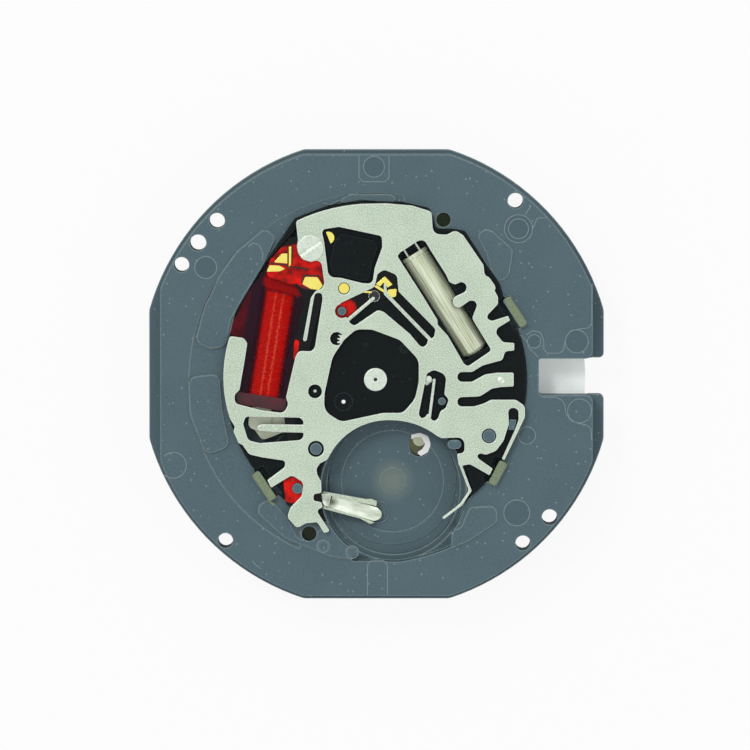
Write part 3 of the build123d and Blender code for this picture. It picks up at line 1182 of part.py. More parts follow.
# The arm that touches the side of the cell: it drops from the cover's edge into the well
ARM_PX = [(460.5, 465), (470.3, 491), (461, 505), (444, 518)]
ARM_T = 0.17
ARM_DEPTH = 0.9
arm = None
for start, end in zip(ARM_PX, ARM_PX[1:]):
    run = bar(at(start), at(end), ARM_T, TOP_Z - ARM_DEPTH, TOP_Z - GAP)
    arm = run if arm is None else arm + run
circuit_cover = circuit_cover + arm

# Screw of the cover
SCREW_PX = (310.5, 248)
SCREW_HEAD_R = 0.88
SCREW_HEAD_T = 0.10
SCREW_SHANK_R = 0.35
SCREW_SLOT_W = 0.16
SCREW = at(SCREW_PX)
circuit_board = circuit_board - disc(SCREW, SCREW_SHANK_R + GAP, BOARD_Z - OVERRUN, TOP_Z)
train_bridge = train_bridge - disc(SCREW, SCREW_SHANK_R + GAP, BRIDGE_Z - OVERRUN, TOP_Z)
circuit_cover = circuit_cover - disc(SCREW, SCREW_SHANK_R + GAP, COVER_Z - OVERRUN, TOP_Z + OVERRUN)
cover_screw = disc(SCREW, SCREW_HEAD_R, TOP_Z, TOP_Z + SCREW_HEAD_T)
cover_screw = cover_screw + disc(SCREW, SCREW_SHANK_R, FLOOR_Z + STATOR_T, TOP_Z + SCREW_HEAD_T / 2)
SCREW_SLOT_ANGLE = 35
slot_end = polar(SCREW_HEAD_R, SCREW_SLOT_ANGLE)
cover_screw = cover_screw - bar(
    add(SCREW, slot_end),
    (SCREW[0] - slot_end[0], SCREW[1] - slot_end[1]),
    SCREW_SLOT_W,
    TOP_Z + SCREW_HEAD_T / 2,
    TOP_Z + SCREW_HEAD_T + OVERRUN,
)

# Negative terminal: a blade that comes over the edge of the well and down to its floor
BLADE_ROOT_ANGLE = 189.3
BLADE_ROOT = add(CELL, polar(WELL_R - 2 * FREE, BLADE_ROOT_ANGLE))
BLADE_TIP_FROM_CELL = (-1.10, -1.78)
BLADE_TIP = add(CELL, BLADE_TIP_FROM_CELL)
BLADE_W_PX = 13.5
BLADE_T = 0.10
BLADE_LENGTH = apart(BLADE_ROOT, BLADE_TIP)
BLADE_ANGLE = bearing(BLADE_ROOT, BLADE_TIP)
BLADE_RISE = 0.35  # at its tip, over the floor, until a cell presses it down
ROOT_LENGTH = 0.55  # of the blade, over the edge
FALL_X = 0.10  # where it turns down
FALL_STEP = 0.12
blade_profile = [
    (-ROOT_LENGTH, BOARD_Z - BLADE_T),
    (FALL_X, BOARD_Z - BLADE_T),
    (FALL_X + FALL_STEP, WELL_Z + BLADE_T),
    (BLADE_LENGTH, WELL_Z + BLADE_RISE),
    (BLADE_LENGTH, WELL_Z + BLADE_RISE + BLADE_T),
    (FALL_X + FALL_STEP + BLADE_T, WELL_Z + 2 * BLADE_T),
    (FALL_X + BLADE_T, BOARD_Z),
    (-ROOT_LENGTH, BOARD_Z),
]
negative_terminal = extrude(
    make_face(Polyline(*[(x, 0, z) for x, z in blade_profile], close=True)),
    BLADE_W_PX * PX / 2,
    both=True,
)
negative_terminal = Pos(*BLADE_ROOT, 0) * Rot(0, 0, BLADE_ANGLE) * negative_terminal
blade_seat = Box(
    ROOT_LENGTH + 2 * GAP,
    BLADE_W_PX * PX + 2 * GAP,
    BRIDGE_T,
    align=(Align.MAX, Align.CENTER, Align.MIN),
)
blade_seat = Pos(*BLADE_ROOT, BOARD_Z - BLADE_T) * Rot(0, 0, BLADE_ANGLE) * Pos(GAP, 0, 0) * blade_seat
train_bridge = train_bridge - blade_seat
circuit_board = circuit_board - disc(CELL, WELL_R - GAP, BOARD_Z - OVERRUN, TOP_Z)

# Room for the contact arm, past the wall of the well
for start, end in zip(ARM_PX, ARM_PX[1:]):
    arm_room = bar(at(start), at(end), 3 * ARM_T, TOP_Z - ARM_DEPTH - FREE, TOP_Z + OVERRUN)
    main_plate = main_plate - arm_room
    train_bridge = train_bridge - arm_room
main_plate = main_plate + disc(at(CELL_BOSS_PX), CELL_BOSS_R, WELL_Z - GAP, WELL_Z + CELL_BOSS_T)

# Dial side: the plate that holds the calendar down, its screws, the foil washer and a spring
GUARD_HOLE_R = HOUR_SHOULDER_R + GAP
GUARD_SCREW_IN = 0.9  # inside the teeth of the date disc
GUARD_SCREW_C = DISC_TIP_R - GUARD_SCREW_IN
GUARD_SCREW_ANGLES = (70, 125, 300)
GUARD_SCREW_R = 0.25
GUARD_HEAD_R = 0.50
GUARD_SCREW_H = 0.70
date_guard = disc(HUB, GUARD_R, GUARD_Z, GUARD_SEAT_Z)
date_guard = date_guard - disc(HUB, GUARD_HOLE_R, -OVERRUN, DEEP_Z)
guard_screws = []
for angle in GUARD_SCREW_ANGLES:
    place = polar(GUARD_SCREW_C, angle)
    date_guard = date_guard - disc(place, GUARD_SCREW_R, -OVERRUN, DEEP_Z)
    main_plate = main_plate - disc(place, GUARD_SCREW_R, 0, GUARD_SEAT_Z + GUARD_SCREW_H)
    screw = disc(place, GUARD_HEAD_R, 0, GUARD_Z)
    screw = screw + disc(place, GUARD_SCREW_R, 0, GUARD_SEAT_Z + GUARD_SCREW_H)
    slot = polar(GUARD_HEAD_R, SCREW_SLOT_ANGLE)
    slot_from, slot_to = add(place, slot), (place[0] - slot[0], place[1] - slot[1])
    screw = screw - bar(slot_from, slot_to, SCREW_SLOT_W, -OVERRUN, GUARD_Z / 2)
    guard_screws.append(screw)
WASHER_T = 0.03
hour_washer = disc(HUB, 2 * HOUR_SEAT_R, GUARD_Z - WASHER_T, GUARD_Z)
hour_washer = hour_washer - disc(HUB, HOUR_SHOULDER_R + RUN, -OVERRUN, GUARD_Z + OVERRUN)
SPRING_POST = (8.85, 3.75)
SPRING_TIP = (9.40, 1.75)
SPRING_W = 0.18
main_plate = main_plate + disc(SPRING_POST, STUD_R, GUARD_SEAT_Z, DEEP_Z + GAP)
main_plate = main_plate + disc(SPRING_POST, 1.5 * STUD_R, LEVER_Z + LEVER_T, DEEP_Z + GAP)
lever_spring = disc(SPRING_POST, 1.5 * STUD_R, LEVER_Z, LEVER_Z + LEVER_T)
lever_spring = lever_spring + bar(SPRING_POST, SPRING_TIP, SPRING_W, LEVER_Z, LEVER_Z + LEVER_T)
lever_spring = lever_spring - disc(SPRING_POST, STUD_R, 0, DEEP_Z)

for shape, name in (
    (main_plate, "main_plate"),
    (train_bridge, "train_bridge"),
    (bearing_cap, "bearing_cap"),
    (circuit_board, "circuit_board"),
    (ic_block, "ic_block"),
    (Compound(contact_pads), "contact_pads"),
    (coil_film, "coil_film"),
    (coil_core, "coil_core"),
    (coil_bobbin, "coil_bobbin"),
    (coil_winding, "coil_winding"),
    (stator, "stator"),
    (quartz_can, "quartz_can"),
    (quartz_base, "quartz_base"),
    (Compound(quartz_leads), "quartz_leads"),
    (circuit_cover, "circuit_cover"),
    (cover_screw, "cover_screw"),
    (negative_terminal, "negative_terminal"),
    (rotor_magnet, "rotor_magnet"),
    (rotor_arbor, "rotor_arbor"),
    (fifth_wheel, "fifth_wheel"),
    (fifth_arbor, "fifth_arbor"),
    (fourth_wheel, "fourth_wheel"),
    (fourth_arbor, "fourth_arbor"),
    (third_wheel, "third_wheel"),
    (third_arbor, "third_arbor"),
    (centre_wheel, "centre_wheel"),
    (cannon_pinion, "cannon_pinion"),
    (centre_tube, "centre_tube"),
    (centre_bridge, "centre_bridge"),
    (minute_wheel, "minute_wheel"),
    (hour_wheel, "hour_wheel"),
    (hour_washer, "hour_washer"),
    (setting_wheel, "setting_wheel"),
    (date_idler, "date_idler"),
    (date_driving_wheel, "date_driving_wheel"),
    (date_finger, "date_finger"),
    (date_disc, "date_disc"),
    (date_jumper, "date_jumper"),
    (date_guard, "date_guard"),
    (Compound(guard_screws), "guard_screws"),
    (clutch_wheel, "clutch_wheel"),
    (setting_lever, "setting_lever"),
    (lever_spring, "lever_spring"),
    (yoke, "yoke"),
    (reset_lever, "reset_lever"),
    (reset_pin, "reset_pin"),
    (corrector_wheel, "corrector_wheel"),
):
    save(shape, name)
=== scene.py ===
import json
import math

import bmesh
import bpy
from mathutils import Matrix, Vector


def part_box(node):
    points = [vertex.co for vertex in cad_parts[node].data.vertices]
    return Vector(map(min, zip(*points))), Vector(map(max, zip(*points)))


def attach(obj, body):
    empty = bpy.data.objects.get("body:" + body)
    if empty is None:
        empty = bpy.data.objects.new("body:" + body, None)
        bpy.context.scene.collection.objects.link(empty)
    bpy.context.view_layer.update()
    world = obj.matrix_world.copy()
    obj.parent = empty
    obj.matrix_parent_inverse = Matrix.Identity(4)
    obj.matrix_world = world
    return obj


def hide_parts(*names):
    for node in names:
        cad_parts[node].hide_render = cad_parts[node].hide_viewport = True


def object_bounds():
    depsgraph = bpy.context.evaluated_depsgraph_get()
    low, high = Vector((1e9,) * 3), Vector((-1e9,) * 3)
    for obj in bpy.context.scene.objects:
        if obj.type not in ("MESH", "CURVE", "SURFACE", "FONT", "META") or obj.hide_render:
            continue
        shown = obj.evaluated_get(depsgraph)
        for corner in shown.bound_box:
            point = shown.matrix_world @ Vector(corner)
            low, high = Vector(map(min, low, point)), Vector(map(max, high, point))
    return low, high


# A quartz watch movement, lying dial side down. The scene is in metres, on the axis of the hands.
MM = 0.001

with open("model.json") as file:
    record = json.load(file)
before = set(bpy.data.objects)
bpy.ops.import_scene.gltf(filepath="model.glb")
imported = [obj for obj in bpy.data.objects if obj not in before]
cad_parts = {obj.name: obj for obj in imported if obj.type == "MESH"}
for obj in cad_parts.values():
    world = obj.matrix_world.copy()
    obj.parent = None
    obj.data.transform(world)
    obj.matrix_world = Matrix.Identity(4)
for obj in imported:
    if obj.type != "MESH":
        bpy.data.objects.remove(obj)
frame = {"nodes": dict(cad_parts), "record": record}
cad_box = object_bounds()

# The photograph's scale: places are read in its pixels, from the axis of the hands
HUB_PX = (375.5, 379.7)
PLATE_R = 15.8 * MM
PLATE_R_PX = 237
PX = PLATE_R / PLATE_R_PX
IMAGE_CENTRE_PX = (375, 375)
IMAGE_W_PX = 750

# Edges
FINE = 0.010 * MM  # how round a small wheel's edges are
PRESSED = 0.020 * MM  # a pressed plate's
MOULDED = 0.030 * MM  # a moulded part's
MERGE = 0.0001 * MM


def at(point, z=0.0):
    """A place in the photograph at a height, in metres."""
    return Vector(((point[0] - HUB_PX[0]) * PX, (HUB_PX[1] - point[1]) * PX, z))


def top_of(node):
    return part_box(node)[1][2]


def bottom_of(node):
    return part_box(node)[0][2]


# Heights
COVER_TOP = top_of("circuit_cover")
BOARD_TOP = top_of("circuit_board")
BRIDGE_TOP = top_of("train_bridge")
RIM_TOP = 2.80 * MM
PAD_TOP = 2.92 * MM
WELL_FLOOR = 1.26 * MM

# The coil and the crystal's can lie along these lines
COIL_TOP_PX = (281.5, 283)
COIL_BOTTOM_PX = (262, 407)
CAN_TOP_PX = (415.6, 255.9)
CAN_BOTTOM_PX = (476.9, 353.8)


# Materials


def colour(red, green, blue):
    """A colour as it looks on screen, from 0 to 255, turned into the renderer's linear values."""
    linear = []
    for value in (red, green, blue):
        share = value / 255
        linear.append(share / 12.92 if share <= 0.04045 else ((share + 0.055) / 1.055) ** 2.4)
    return (*linear, 1.0)


class Graph:
    """A node tree under construction."""

    def __init__(self, tree):
        self.nodes, self.links = tree.nodes, tree.links

    def feed(self, target, value):
        """Set an input socket to a plain value, or link it to another node's output."""
        if isinstance(value, bpy.types.NodeSocket):
            self.links.new(value, target)
        else:
            target.default_value = value

    def node(self, kind, inputs=None, **settings):
        """A new node with those settings, and its inputs fed by name or number."""
        node = self.nodes.new(kind)
        for setting, value in settings.items():
            setattr(node, setting, value)
        for socket, value in (inputs or {}).items():
            self.feed(node.inputs[socket], value)
        return node

    def math(self, operation, first, second=0.0, clamp=False):
        inputs = {0: first, 1: second}
        return self.node("ShaderNodeMath", inputs, operation=operation, use_clamp=clamp).outputs[0]

    def span(self, value, low, high, start=0.3, end=0.7):
        inputs = {"Value": value, "From Min": start, "From Max": end, "To Min": low, "To Max": high}
        return self.node("ShaderNodeMapRange", inputs).outputs["Result"]


class Finish(Graph):
    """A material under construction: its shader, and the patterns that feed it."""

    def __init__(self, name, metallic=0.0, roughness=0.5, **sockets):
        self.material = bpy.data.materials.new(name)
        self.material.use_nodes = True
        super().__init__(self.material.node_tree)
        self.shader = self.nodes["Principled BSDF"]
        self.rounding = None
        self.place = self.node("ShaderNodeTexCoord").outputs["Object"]
        self.shader.inputs["Metallic"].default_value = metallic
        self.shader.inputs["Roughness"].default_value = roughness
        for socket, value in sockets.items():
            self.shader.inputs[socket.replace("_", " ")].default_value = value

    def vector(self, operation, first, second=(0, 0, 0), scale=None):
        inputs = {0: first, 1: second}
        if scale is not None:
            inputs["Scale"] = scale
        node = self.node("ShaderNodeVectorMath", inputs, operation=operation)
        return node.outputs["Value" if operation in ("DOT_PRODUCT", "DISTANCE") else 0]

    def stretched(self, scale, turn=0.0):
        """Object coordinates turned about Z, then scaled along their new axes."""
        turned = self.node("ShaderNodeMapping", {"Vector": self.place, "Rotation": (0, 0, -turn)})
        inputs = {"Vector": turned.outputs["Vector"], "Scale": scale}
        return self.node("ShaderNodeMapping", inputs).outputs["Vector"]

    def noise(self, grain, detail=3.0, place=None, roughness=0.55):
        """Noise whose grain is given as a length in metres."""
        return self.node("ShaderNodeTexNoise", {
            "Vector": place or self.place, "Scale": 1 / grain, "Detail": detail,
            "Roughness": roughness,
        }).outputs["Fac"]

    def specks(self, spacing, size):
        """1 in small round specks, one to each cell of that spacing, 0 between them."""
        cells = self.node("ShaderNodeTexVoronoi", {"Vector": self.place, "Scale": 1 / spacing})
        return self.span(cells.outputs["Distance"], 1.0, 0.0, start=size * 0.6, end=size)

    def ramp(self, value, *stops):
        node = self.nodes.new("ShaderNodeValToRGB")
        elements = node.color_ramp.elements
        elements[0].position, elements[0].color = stops[0]
        elements[1].position, elements[1].color = stops[-1]
        for position, shade in stops[1:-1]:
            elements.new(position).color = shade
        self.links.new(value, node.inputs["Fac"])
        return node.outputs["Color"]

    def mix(self, factor, first, second):
        node = self.node("ShaderNodeMix", data_type="RGBA")
        for socket, value in (("Factor", factor), ("A", first), ("B", second)):
            self.feed(next(i for i in node.inputs if i.name == socket and i.enabled), value)
        return next(o for o in node.outputs if o.enabled)

    def flat_place(self):
        """Object coordinates pressed flat, for patterns read from above."""
        return self.vector("MULTIPLY", self.place, (1, 1, 0))

    def near_point(self, point_px, radius_px, soft_px=1.0):
        """1 within a circle of the photograph, 0 outside."""
        distance = self.vector("DISTANCE", self.flat_place(), tuple(at(point_px)))
        return self.span(
            distance, 1.0, 0.0, start=(radius_px - soft_px) * PX, end=(radius_px + soft_px) * PX
        )

    def near_line(self, start_px, end_px, half_px, soft_px=1.0, jitter=None):
        """1 within a distance of a line of the photograph, 0 outside."""
        start, run = at(start_px), at(end_px) - at(start_px)
        offset = self.vector("SUBTRACT", self.flat_place(), tuple(start))
        share = self.math(
            "DIVIDE", self.vector("DOT_PRODUCT", offset, tuple(run)), run.length_squared, clamp=True
        )
        nearest = self.vector("SCALE", tuple(run), scale=share)
        distance = self.vector("DISTANCE", offset, nearest)
        if jitter:
            distance = self.math("ADD", distance, jitter)
        return self.span(
            distance, 1.0, 0.0, start=(half_px - soft_px) * PX, end=(half_px + soft_px) * PX
        )

    def any_of(self, *masks):
        most = masks[0]
        for mask in masks[1:]:
            most = self.math("MAXIMUM", most, mask)
        return most

    def worn_edge(self, width, start=0.80, end=0.99):
        """1 along the edges, 0 on the faces: how far a rounded normal leans from the true one. The
        finishes paint a highlight along the edges with it.
        """
        self.rounding = self.node("ShaderNodeBevel", {"Radius": width}, samples=4).outputs["Normal"]
        true = self.node("ShaderNodeNewGeometry").outputs["Normal"]
        lean = self.vector("DOT_PRODUCT", self.rounding, true)
        return self.span(lean, 1.0, 0.0, start=start, end=end)

    def base(self, socket):
        self.links.new(socket, self.shader.inputs["Base Color"])

    def rough(self, socket):
        self.links.new(socket, self.shader.inputs["Roughness"])

    def bump(self, height, distance, strength=1.0):
        inputs = {"Height": height, "Distance": distance, "Strength": strength}
        node = self.node("ShaderNodeBump", inputs)
        if self.rounding:
            self.links.new(self.rounding, node.inputs["Normal"])
        self.links.new(node.outputs["Normal"], self.shader.inputs["Normal"])


# The boss of the well, where painted light shines warm through the thin floor
WELL_BOSS_PX = (392.8, 482.4)
HOOKS_PX = (((507.5, 296.5), (523.5, 327)), ((504.5, 461), (491, 486)), ((254, 472), (274, 501.5)))
# Rounds of the ring filled with painted shade, as if sunk
SHADED_ROUNDS_PX = (
    ((205.7, 267.8), 11), ((518.5, 229), 14), ((527, 436), 8.7), ((517, 513.8), 13),
    ((534.3, 341.7), 6.7), ((374, 167), 10.5), ((576.9, 341.8), 11.5),
)
BLIND_HOLES_PX = ((443.5, 220.5), (309, 534.5))


def moulded_plastic(name, dark, light, edge, roughness=0.5, sheen=0.4, painted_backlight=None):
    """Filled engineering plastic: a fine speckle, faint flow clouds, small bright flecks, and paler
    edges that are a painted highlight. On the plate the hooks and the blind holes get an olive
    painted light, for light shining up through thin plastic, the boss of the well a warmer pool
    of painted light, and some rounds of the ring a painted shade."""
    finish = Finish(name, roughness=roughness, Specular_IOR_Level=sheen)
    speckle = finish.noise(0.09 * MM, detail=4.0)
    clouds = finish.noise(3.5 * MM, detail=2.0)
    skin = finish.ramp(speckle, (0.34, dark), (0.66, light))
    skin = finish.mix(finish.span(clouds, 0.0, 0.4), skin, light)
    flecks = finish.math("MULTIPLY", finish.specks(0.55 * MM, 0.13), 0.5)
    skin = finish.mix(flecks, skin, edge)
    # painted highlight: paler edges, as if they catch the light
    skin = finish.mix(finish.worn_edge(0.12 * MM, 0.86, 0.992), skin, edge)
    if painted_backlight:
        # painted shade in the rounds of the ring
        hollow_shade = [finish.near_point(point, radius, 0.8) for point, radius in SHADED_ROUNDS_PX]
        skin = finish.mix(finish.math("MULTIPLY", finish.any_of(*hollow_shade), 0.6), skin, dark)
        height = finish.vector("DOT_PRODUCT", finish.place, (0, 0, 1))
        above = finish.span(
            height, 0.0, 0.35, start=WELL_FLOOR - 0.10 * MM, end=WELL_FLOOR - 0.05 * MM
        )
        # painted light: a warm pool where light shines through the thin floor of the well
        glow = finish.math("MULTIPLY", finish.near_point(WELL_BOSS_PX, 15, 9), above)
        skin = finish.mix(glow, skin, colour(150, 158, 136))
        # olive painted light on the hooks' tops and in the blind holes: light shining up through
        # thin plastic
        raised = finish.span(height, 0.0, 1.0, start=RIM_TOP + 0.02 * MM, end=RIM_TOP + 0.04 * MM)
        places = [
            finish.math("MULTIPLY", raised, finish.near_line(start, end, 4.6, 0.4))
            for start, end in HOOKS_PX
        ]
        places += [finish.near_point(point, 7.2, 0.3) for point in BLIND_HOLES_PX]
        backlight_olive = finish.ramp(speckle, (0.3, painted_backlight[0]), (0.7, painted_backlight[1]))
        skin = finish.mix(finish.any_of(*places), skin, backlight_olive)
    finish.base(skin)
    finish.rough(finish.span(speckle, roughness - 0.06, roughness + 0.1))
    finish.bump(speckle, 0.004 * MM, 0.6)
    return finish.material


def grained_steel(name, dark, light, edge, grain, low, high):
    """Pressed steel with the sparkling matte grain of a tumbled blank."""
    finish = Finish(name, roughness=high)
    grains = finish.noise(grain, detail=4.0, roughness=0.7)
    clouds = finish.noise(2.2 * MM, detail=2.0)
    skin = finish.ramp(grains, (0.36, dark), (0.64, light))
    skin = finish.mix(finish.span(clouds, 0.0, 0.3), skin, light)
    # painted highlight along the edges: paler and less metallic there
    rim = finish.worn_edge(0.13 * MM, 0.86, 0.99)
    finish.base(finish.mix(rim, skin, edge))
    finish.feed(finish.shader.inputs["Metallic"], finish.span(rim, 1.0, 0.25, start=0, end=1))
    finish.rough(finish.span(grains, high, low))
    finish.bump(grains, 0.006 * MM, 0.8)
    return finish.material


def turned_metal(name, dark, light, low=0.18, high=0.34):
    """Metal with fine marks of the tool round or along it."""
    finish = Finish(name, metallic=1.0, roughness=high)
    marks = finish.noise(0.03 * MM, detail=3.0, place=finish.stretched((1, 1, 9)))
    clouds = finish.noise(1.2 * MM, detail=2.0)
    skin = finish.ramp(marks, (0.3, dark), (0.7, light))
    skin = finish.mix(finish.span(clouds, 0.0, 0.4), skin, dark)
    # painted highlight along the edges
    finish.base(finish.mix(finish.worn_edge(0.02 * MM), skin, light))
    finish.rough(finish.span(marks, low, high))
    finish.bump(marks, 0.0015 * MM, 0.5)
    return finish.material


def lacquered_board(name, black, deep, bright):
    """Lacquer over the board: black in most places, red where it is thin over the copper."""
    finish = Finish(name, roughness=0.25, Specular_IOR_Level=0.15)
    pools = finish.noise(0.9 * MM, detail=3.0)
    weave = finish.noise(0.05 * MM, detail=2.0)
    red = finish.ramp(pools, (0.35, deep), (0.60, bright))
    red_places = finish.any_of(
        finish.near_line((276, 268), (306, 262), 19, 1.2),
        finish.near_point((310, 272), 17, 1.2),
        finish.near_line((343, 310), (347, 308), 8.6, 1.6),
        finish.near_point((292, 490), 13, 1.0),
        finish.near_line((296, 343), (294.5, 356), 3.0, 0.5),
    )
    finish.base(finish.mix(red_places, black, red))
    finish.rough(finish.span(weave, 0.18, 0.34))
    finish.bump(weave, 0.002 * MM, 0.5)
    return finish.material


def clear_film(name, wine, purple, bright):
    """Tinted film stretched over the coil: see-through over the winding, dense beside it."""
    finish = Finish(name, roughness=0.10, Specular_IOR_Level=0.12)
    ripples = finish.noise(0.7 * MM, detail=2.0)
    over_wire = finish.near_line(COIL_TOP_PX, COIL_BOTTOM_PX, 16.0, 3.5)
    band = finish.near_line(COIL_TOP_PX, COIL_BOTTOM_PX, 30, 3.0)
    blister = finish.near_line((272, 282), (298, 288), 8.5, 2.0)
    tint = finish.mix(band, finish.ramp(ripples, (0.3, wine[0]), (0.7, wine[1])), purple)
    tint = finish.mix(blister, tint, bright)
    finish.base(tint)
    dense = finish.mix(over_wire, (0.86, 0.86, 0.86, 1), (0.05, 0.05, 0.05, 1))
    seen = finish.mix(blister, dense, (0.75, 0.75, 0.75, 1))
    finish.feed(finish.shader.inputs["Alpha"], seen)
    finish.bump(ripples, 0.02 * MM, 0.4)
    return finish.material


def enamelled_wire(name, deep, bright, glint):
    """The coil's wire: enamel, with painted shade down the flanks of the winding and two uneven
    lines of painted highlight along its crown."""
    finish = Finish(name, roughness=0.35, Specular_IOR_Level=0.12)
    turns = finish.noise(0.10 * MM, detail=3.0)
    jitter = finish.math("MULTIPLY", finish.math("SUBTRACT", turns, 0.5), 7 * PX)
    lit = finish.ramp(turns, (0.3, bright[0]), (0.66, bright[1]))
    # two uneven lines of painted highlight, in the glint colour
    outside = finish.near_line(COIL_TOP_PX, COIL_BOTTOM_PX, 4.4, 0.4, jitter)
    inside = finish.near_line(COIL_TOP_PX, COIL_BOTTOM_PX, 3.0, 0.4, jitter)
    streak = finish.math("MULTIPLY", finish.math("SUBTRACT", outside, inside, clamp=True), 0.6)
    # crown: the lit middle of the winding; beside it the deep colour is painted shade
    crown = finish.near_line(COIL_TOP_PX, COIL_BOTTOM_PX, 15.5, 3.5)
    finish.base(finish.mix(crown, deep, finish.mix(streak, lit, glint)))
    finish.rough(finish.span(turns, 0.28, 0.45))
    return finish.material


def drawn_can(name, dark, light, bright):
    """The crystal's can, drawn along its own axis, so its streaks run that way; the palest of them
    are painted highlights.
    """
    line = at(CAN_BOTTOM_PX) - at(CAN_TOP_PX)
    along = math.atan2(line.y, line.x)
    finish = Finish(name, metallic=0.25, roughness=0.3)
    streaks = finish.noise(0.13 * MM, detail=3.0, place=finish.stretched((0.03, 1, 1), along))
    stains = finish.noise(0.8 * MM, detail=3.0)
    # the bright stop paints highlight streaks along the can
    skin = finish.ramp(streaks, (0.36, dark), (0.56, light), (0.68, bright))
    finish.base(finish.mix(finish.span(stains, 0.0, 0.25), skin, light))
    finish.rough(finish.span(streaks, 0.22, 0.40))
    finish.bump(streaks, 0.004 * MM, 0.6)
    return finish.material


def pale_moulding(name, shade, shadow, roughness=0.38, through=0.0, glow=0.0):
    """Even moulded plastic with a soft sheen; some of it lets light through, or has a painted glow
    that stands for light shining through it from below."""
    finish = Finish(
        name, roughness=roughness, Transmission_Weight=through, IOR=1.46,
        Emission_Color=shade, Emission_Strength=glow,
    )
    cloud = finish.noise(0.9 * MM, detail=2.0)
    fine = finish.noise(0.04 * MM, detail=2.0)
    finish.base(finish.ramp(cloud, (0.3, shadow), (0.7, shade)))
    finish.rough(finish.span(fine, roughness - 0.06, roughness + 0.08))
    finish.bump(fine, 0.0015 * MM, 0.5)
    return finish.material


# The third colour of the plastics and the grained steels is their painted edge highlight; the
# plastics' flecks take it too.
FINISHES = {
    "grey_plastic": moulded_plastic(
        "grey_plastic", colour(66, 88, 96), colour(82, 106, 114), colour(156, 176, 178),
        # the olive colours of painted light shining through the hooks and blind holes
        painted_backlight=(colour(98, 112, 84), colour(142, 158, 128)),
    ),
    "black_plastic": moulded_plastic(
        "black_plastic", colour(9, 13, 14), colour(21, 28, 30), colour(52, 62, 64),
        roughness=0.42, sheen=0.08,
    ),
    "red_board": lacquered_board(
        "red_board", colour(14, 16, 17), colour(120, 6, 4), colour(236, 22, 10)
    ),
    "red_film": clear_film(
        "red_film", (colour(74, 6, 18), colour(104, 10, 26)), colour(44, 16, 32), colour(168, 4, 6)
    ),
    "red_wire": enamelled_wire(
        "red_wire", colour(70, 8, 20), (colour(190, 8, 2), colour(232, 22, 8)), colour(255, 120, 84)
    ),
    "gold": turned_metal("gold", colour(228, 210, 84), colour(255, 246, 150)),
    "cover_steel": grained_steel(
        "cover_steel", colour(140, 157, 139), colour(205, 219, 201), colour(252, 255, 250),
        0.08 * MM, 0.34, 0.52,
    ),
    "bright_steel": turned_metal("bright_steel", colour(176, 184, 174), colour(232, 240, 230)),
    "soft_iron": turned_metal("soft_iron", colour(150, 156, 138), colour(206, 212, 190), 0.3, 0.45),
    "magnet": turned_metal("magnet", colour(58, 58, 62), colour(92, 92, 96), 0.3, 0.45),
    "brass": turned_metal("brass", colour(188, 148, 74), colour(230, 198, 120), 0.2, 0.36),
    "can_metal": drawn_can(
        "can_metal", colour(166, 172, 140), colour(214, 222, 194), colour(252, 255, 238)
    ),
    # white_plastic: painted glow, for light from under the movement shining up through it
    "white_plastic": pale_moulding(
        "white_plastic", colour(250, 255, 252), colour(238, 247, 242), roughness=0.6, glow=0.18
    ),
    "clear_plastic": pale_moulding(
        "clear_plastic", colour(226, 224, 214), colour(196, 192, 178), through=0.35
    ),
}
plated = grained_steel(
    "plated_steel", colour(186, 198, 184), colour(214, 225, 212), colour(240, 248, 238),
    0.16 * MM, 0.30, 0.42,
)
# Black for print, and also painted shade where a hole looks black
black_ink_and_shade = pale_moulding("black_ink_and_shade", colour(24, 26, 28), colour(16, 17, 19), roughness=0.5)
olive_shade = pale_moulding("olive_shade", colour(92, 92, 58), colour(60, 62, 40), roughness=0.5)
pale_button = pale_moulding("pale_button", colour(196, 202, 172), colour(168, 176, 146))
rail_steel = grained_steel(
    "rail_steel", colour(140, 154, 134), colour(188, 200, 180), colour(236, 244, 232),
    0.12 * MM, 0.30, 0.44,
)
plum_film = pale_moulding("plum_film", colour(86, 10, 24), colour(52, 14, 28), roughness=0.3)
# Lighter copies of the black and grey plastics for the raised lines: painted highlight on the
# ridges
lit_black_lines = moulded_plastic(
    "lit_black_lines", colour(30, 38, 40), colour(42, 51, 54), colour(66, 76, 78), sheen=0.1
)
lit_grey_lines = moulded_plastic(
    "lit_grey_lines", colour(100, 122, 129), colour(120, 141, 147), colour(150, 168, 172)
)


def soft_strip(name, shadow, light, root_px):
    """Bright rolled strip: long soft shades along it, painted shade where it comes down at its
    root, and a painted highlight along its edges.
    """
    line = at((378, 515.5)) - at((329, 502.5))
    finish = Finish(name, metallic=0.85, roughness=0.35)
    rolled = finish.noise(
        0.5 * MM, detail=2.0, place=finish.stretched((0.2, 1, 1), math.atan2(line.y, line.x))
    )
    fine = finish.noise(0.06 * MM, detail=3.0)
    skin = finish.ramp(rolled, (0.35, shadow), (0.62, light))
    # painted shade where the strip comes down at its root
    skin = finish.mix(finish.near_point(root_px, 4.0, 3.5), skin, colour(84, 88, 70))
    # painted highlight along the edges
    finish.base(finish.mix(finish.worn_edge(0.05 * MM), skin, colour(246, 250, 244)))
    finish.rough(finish.span(fine, 0.28, 0.42))
    finish.bump(fine, 0.002 * MM, 0.5)
    return finish.material


bright_strip = soft_strip(
    "bright_strip", colour(172, 182, 164), colour(226, 234, 220), (332, 503.5)
)
glint = pale_moulding("glint", colour(255, 255, 255), colour(244, 248, 244), roughness=0.3)

slot_of = {part["node"]: part["material_slot"] for part in frame["record"]["subparts"]}
body_of = {
    node: body for body, nodes in frame["record"]["behaviour"]["bodies"].items() for node in nodes
}
PLATED = ("cover_screw", "bearing_cap", "reset_pin", "guard_screws")


def finish_of(node):
    return plated if node in PLATED else FINISHES[slot_of[node]]


# Meshes


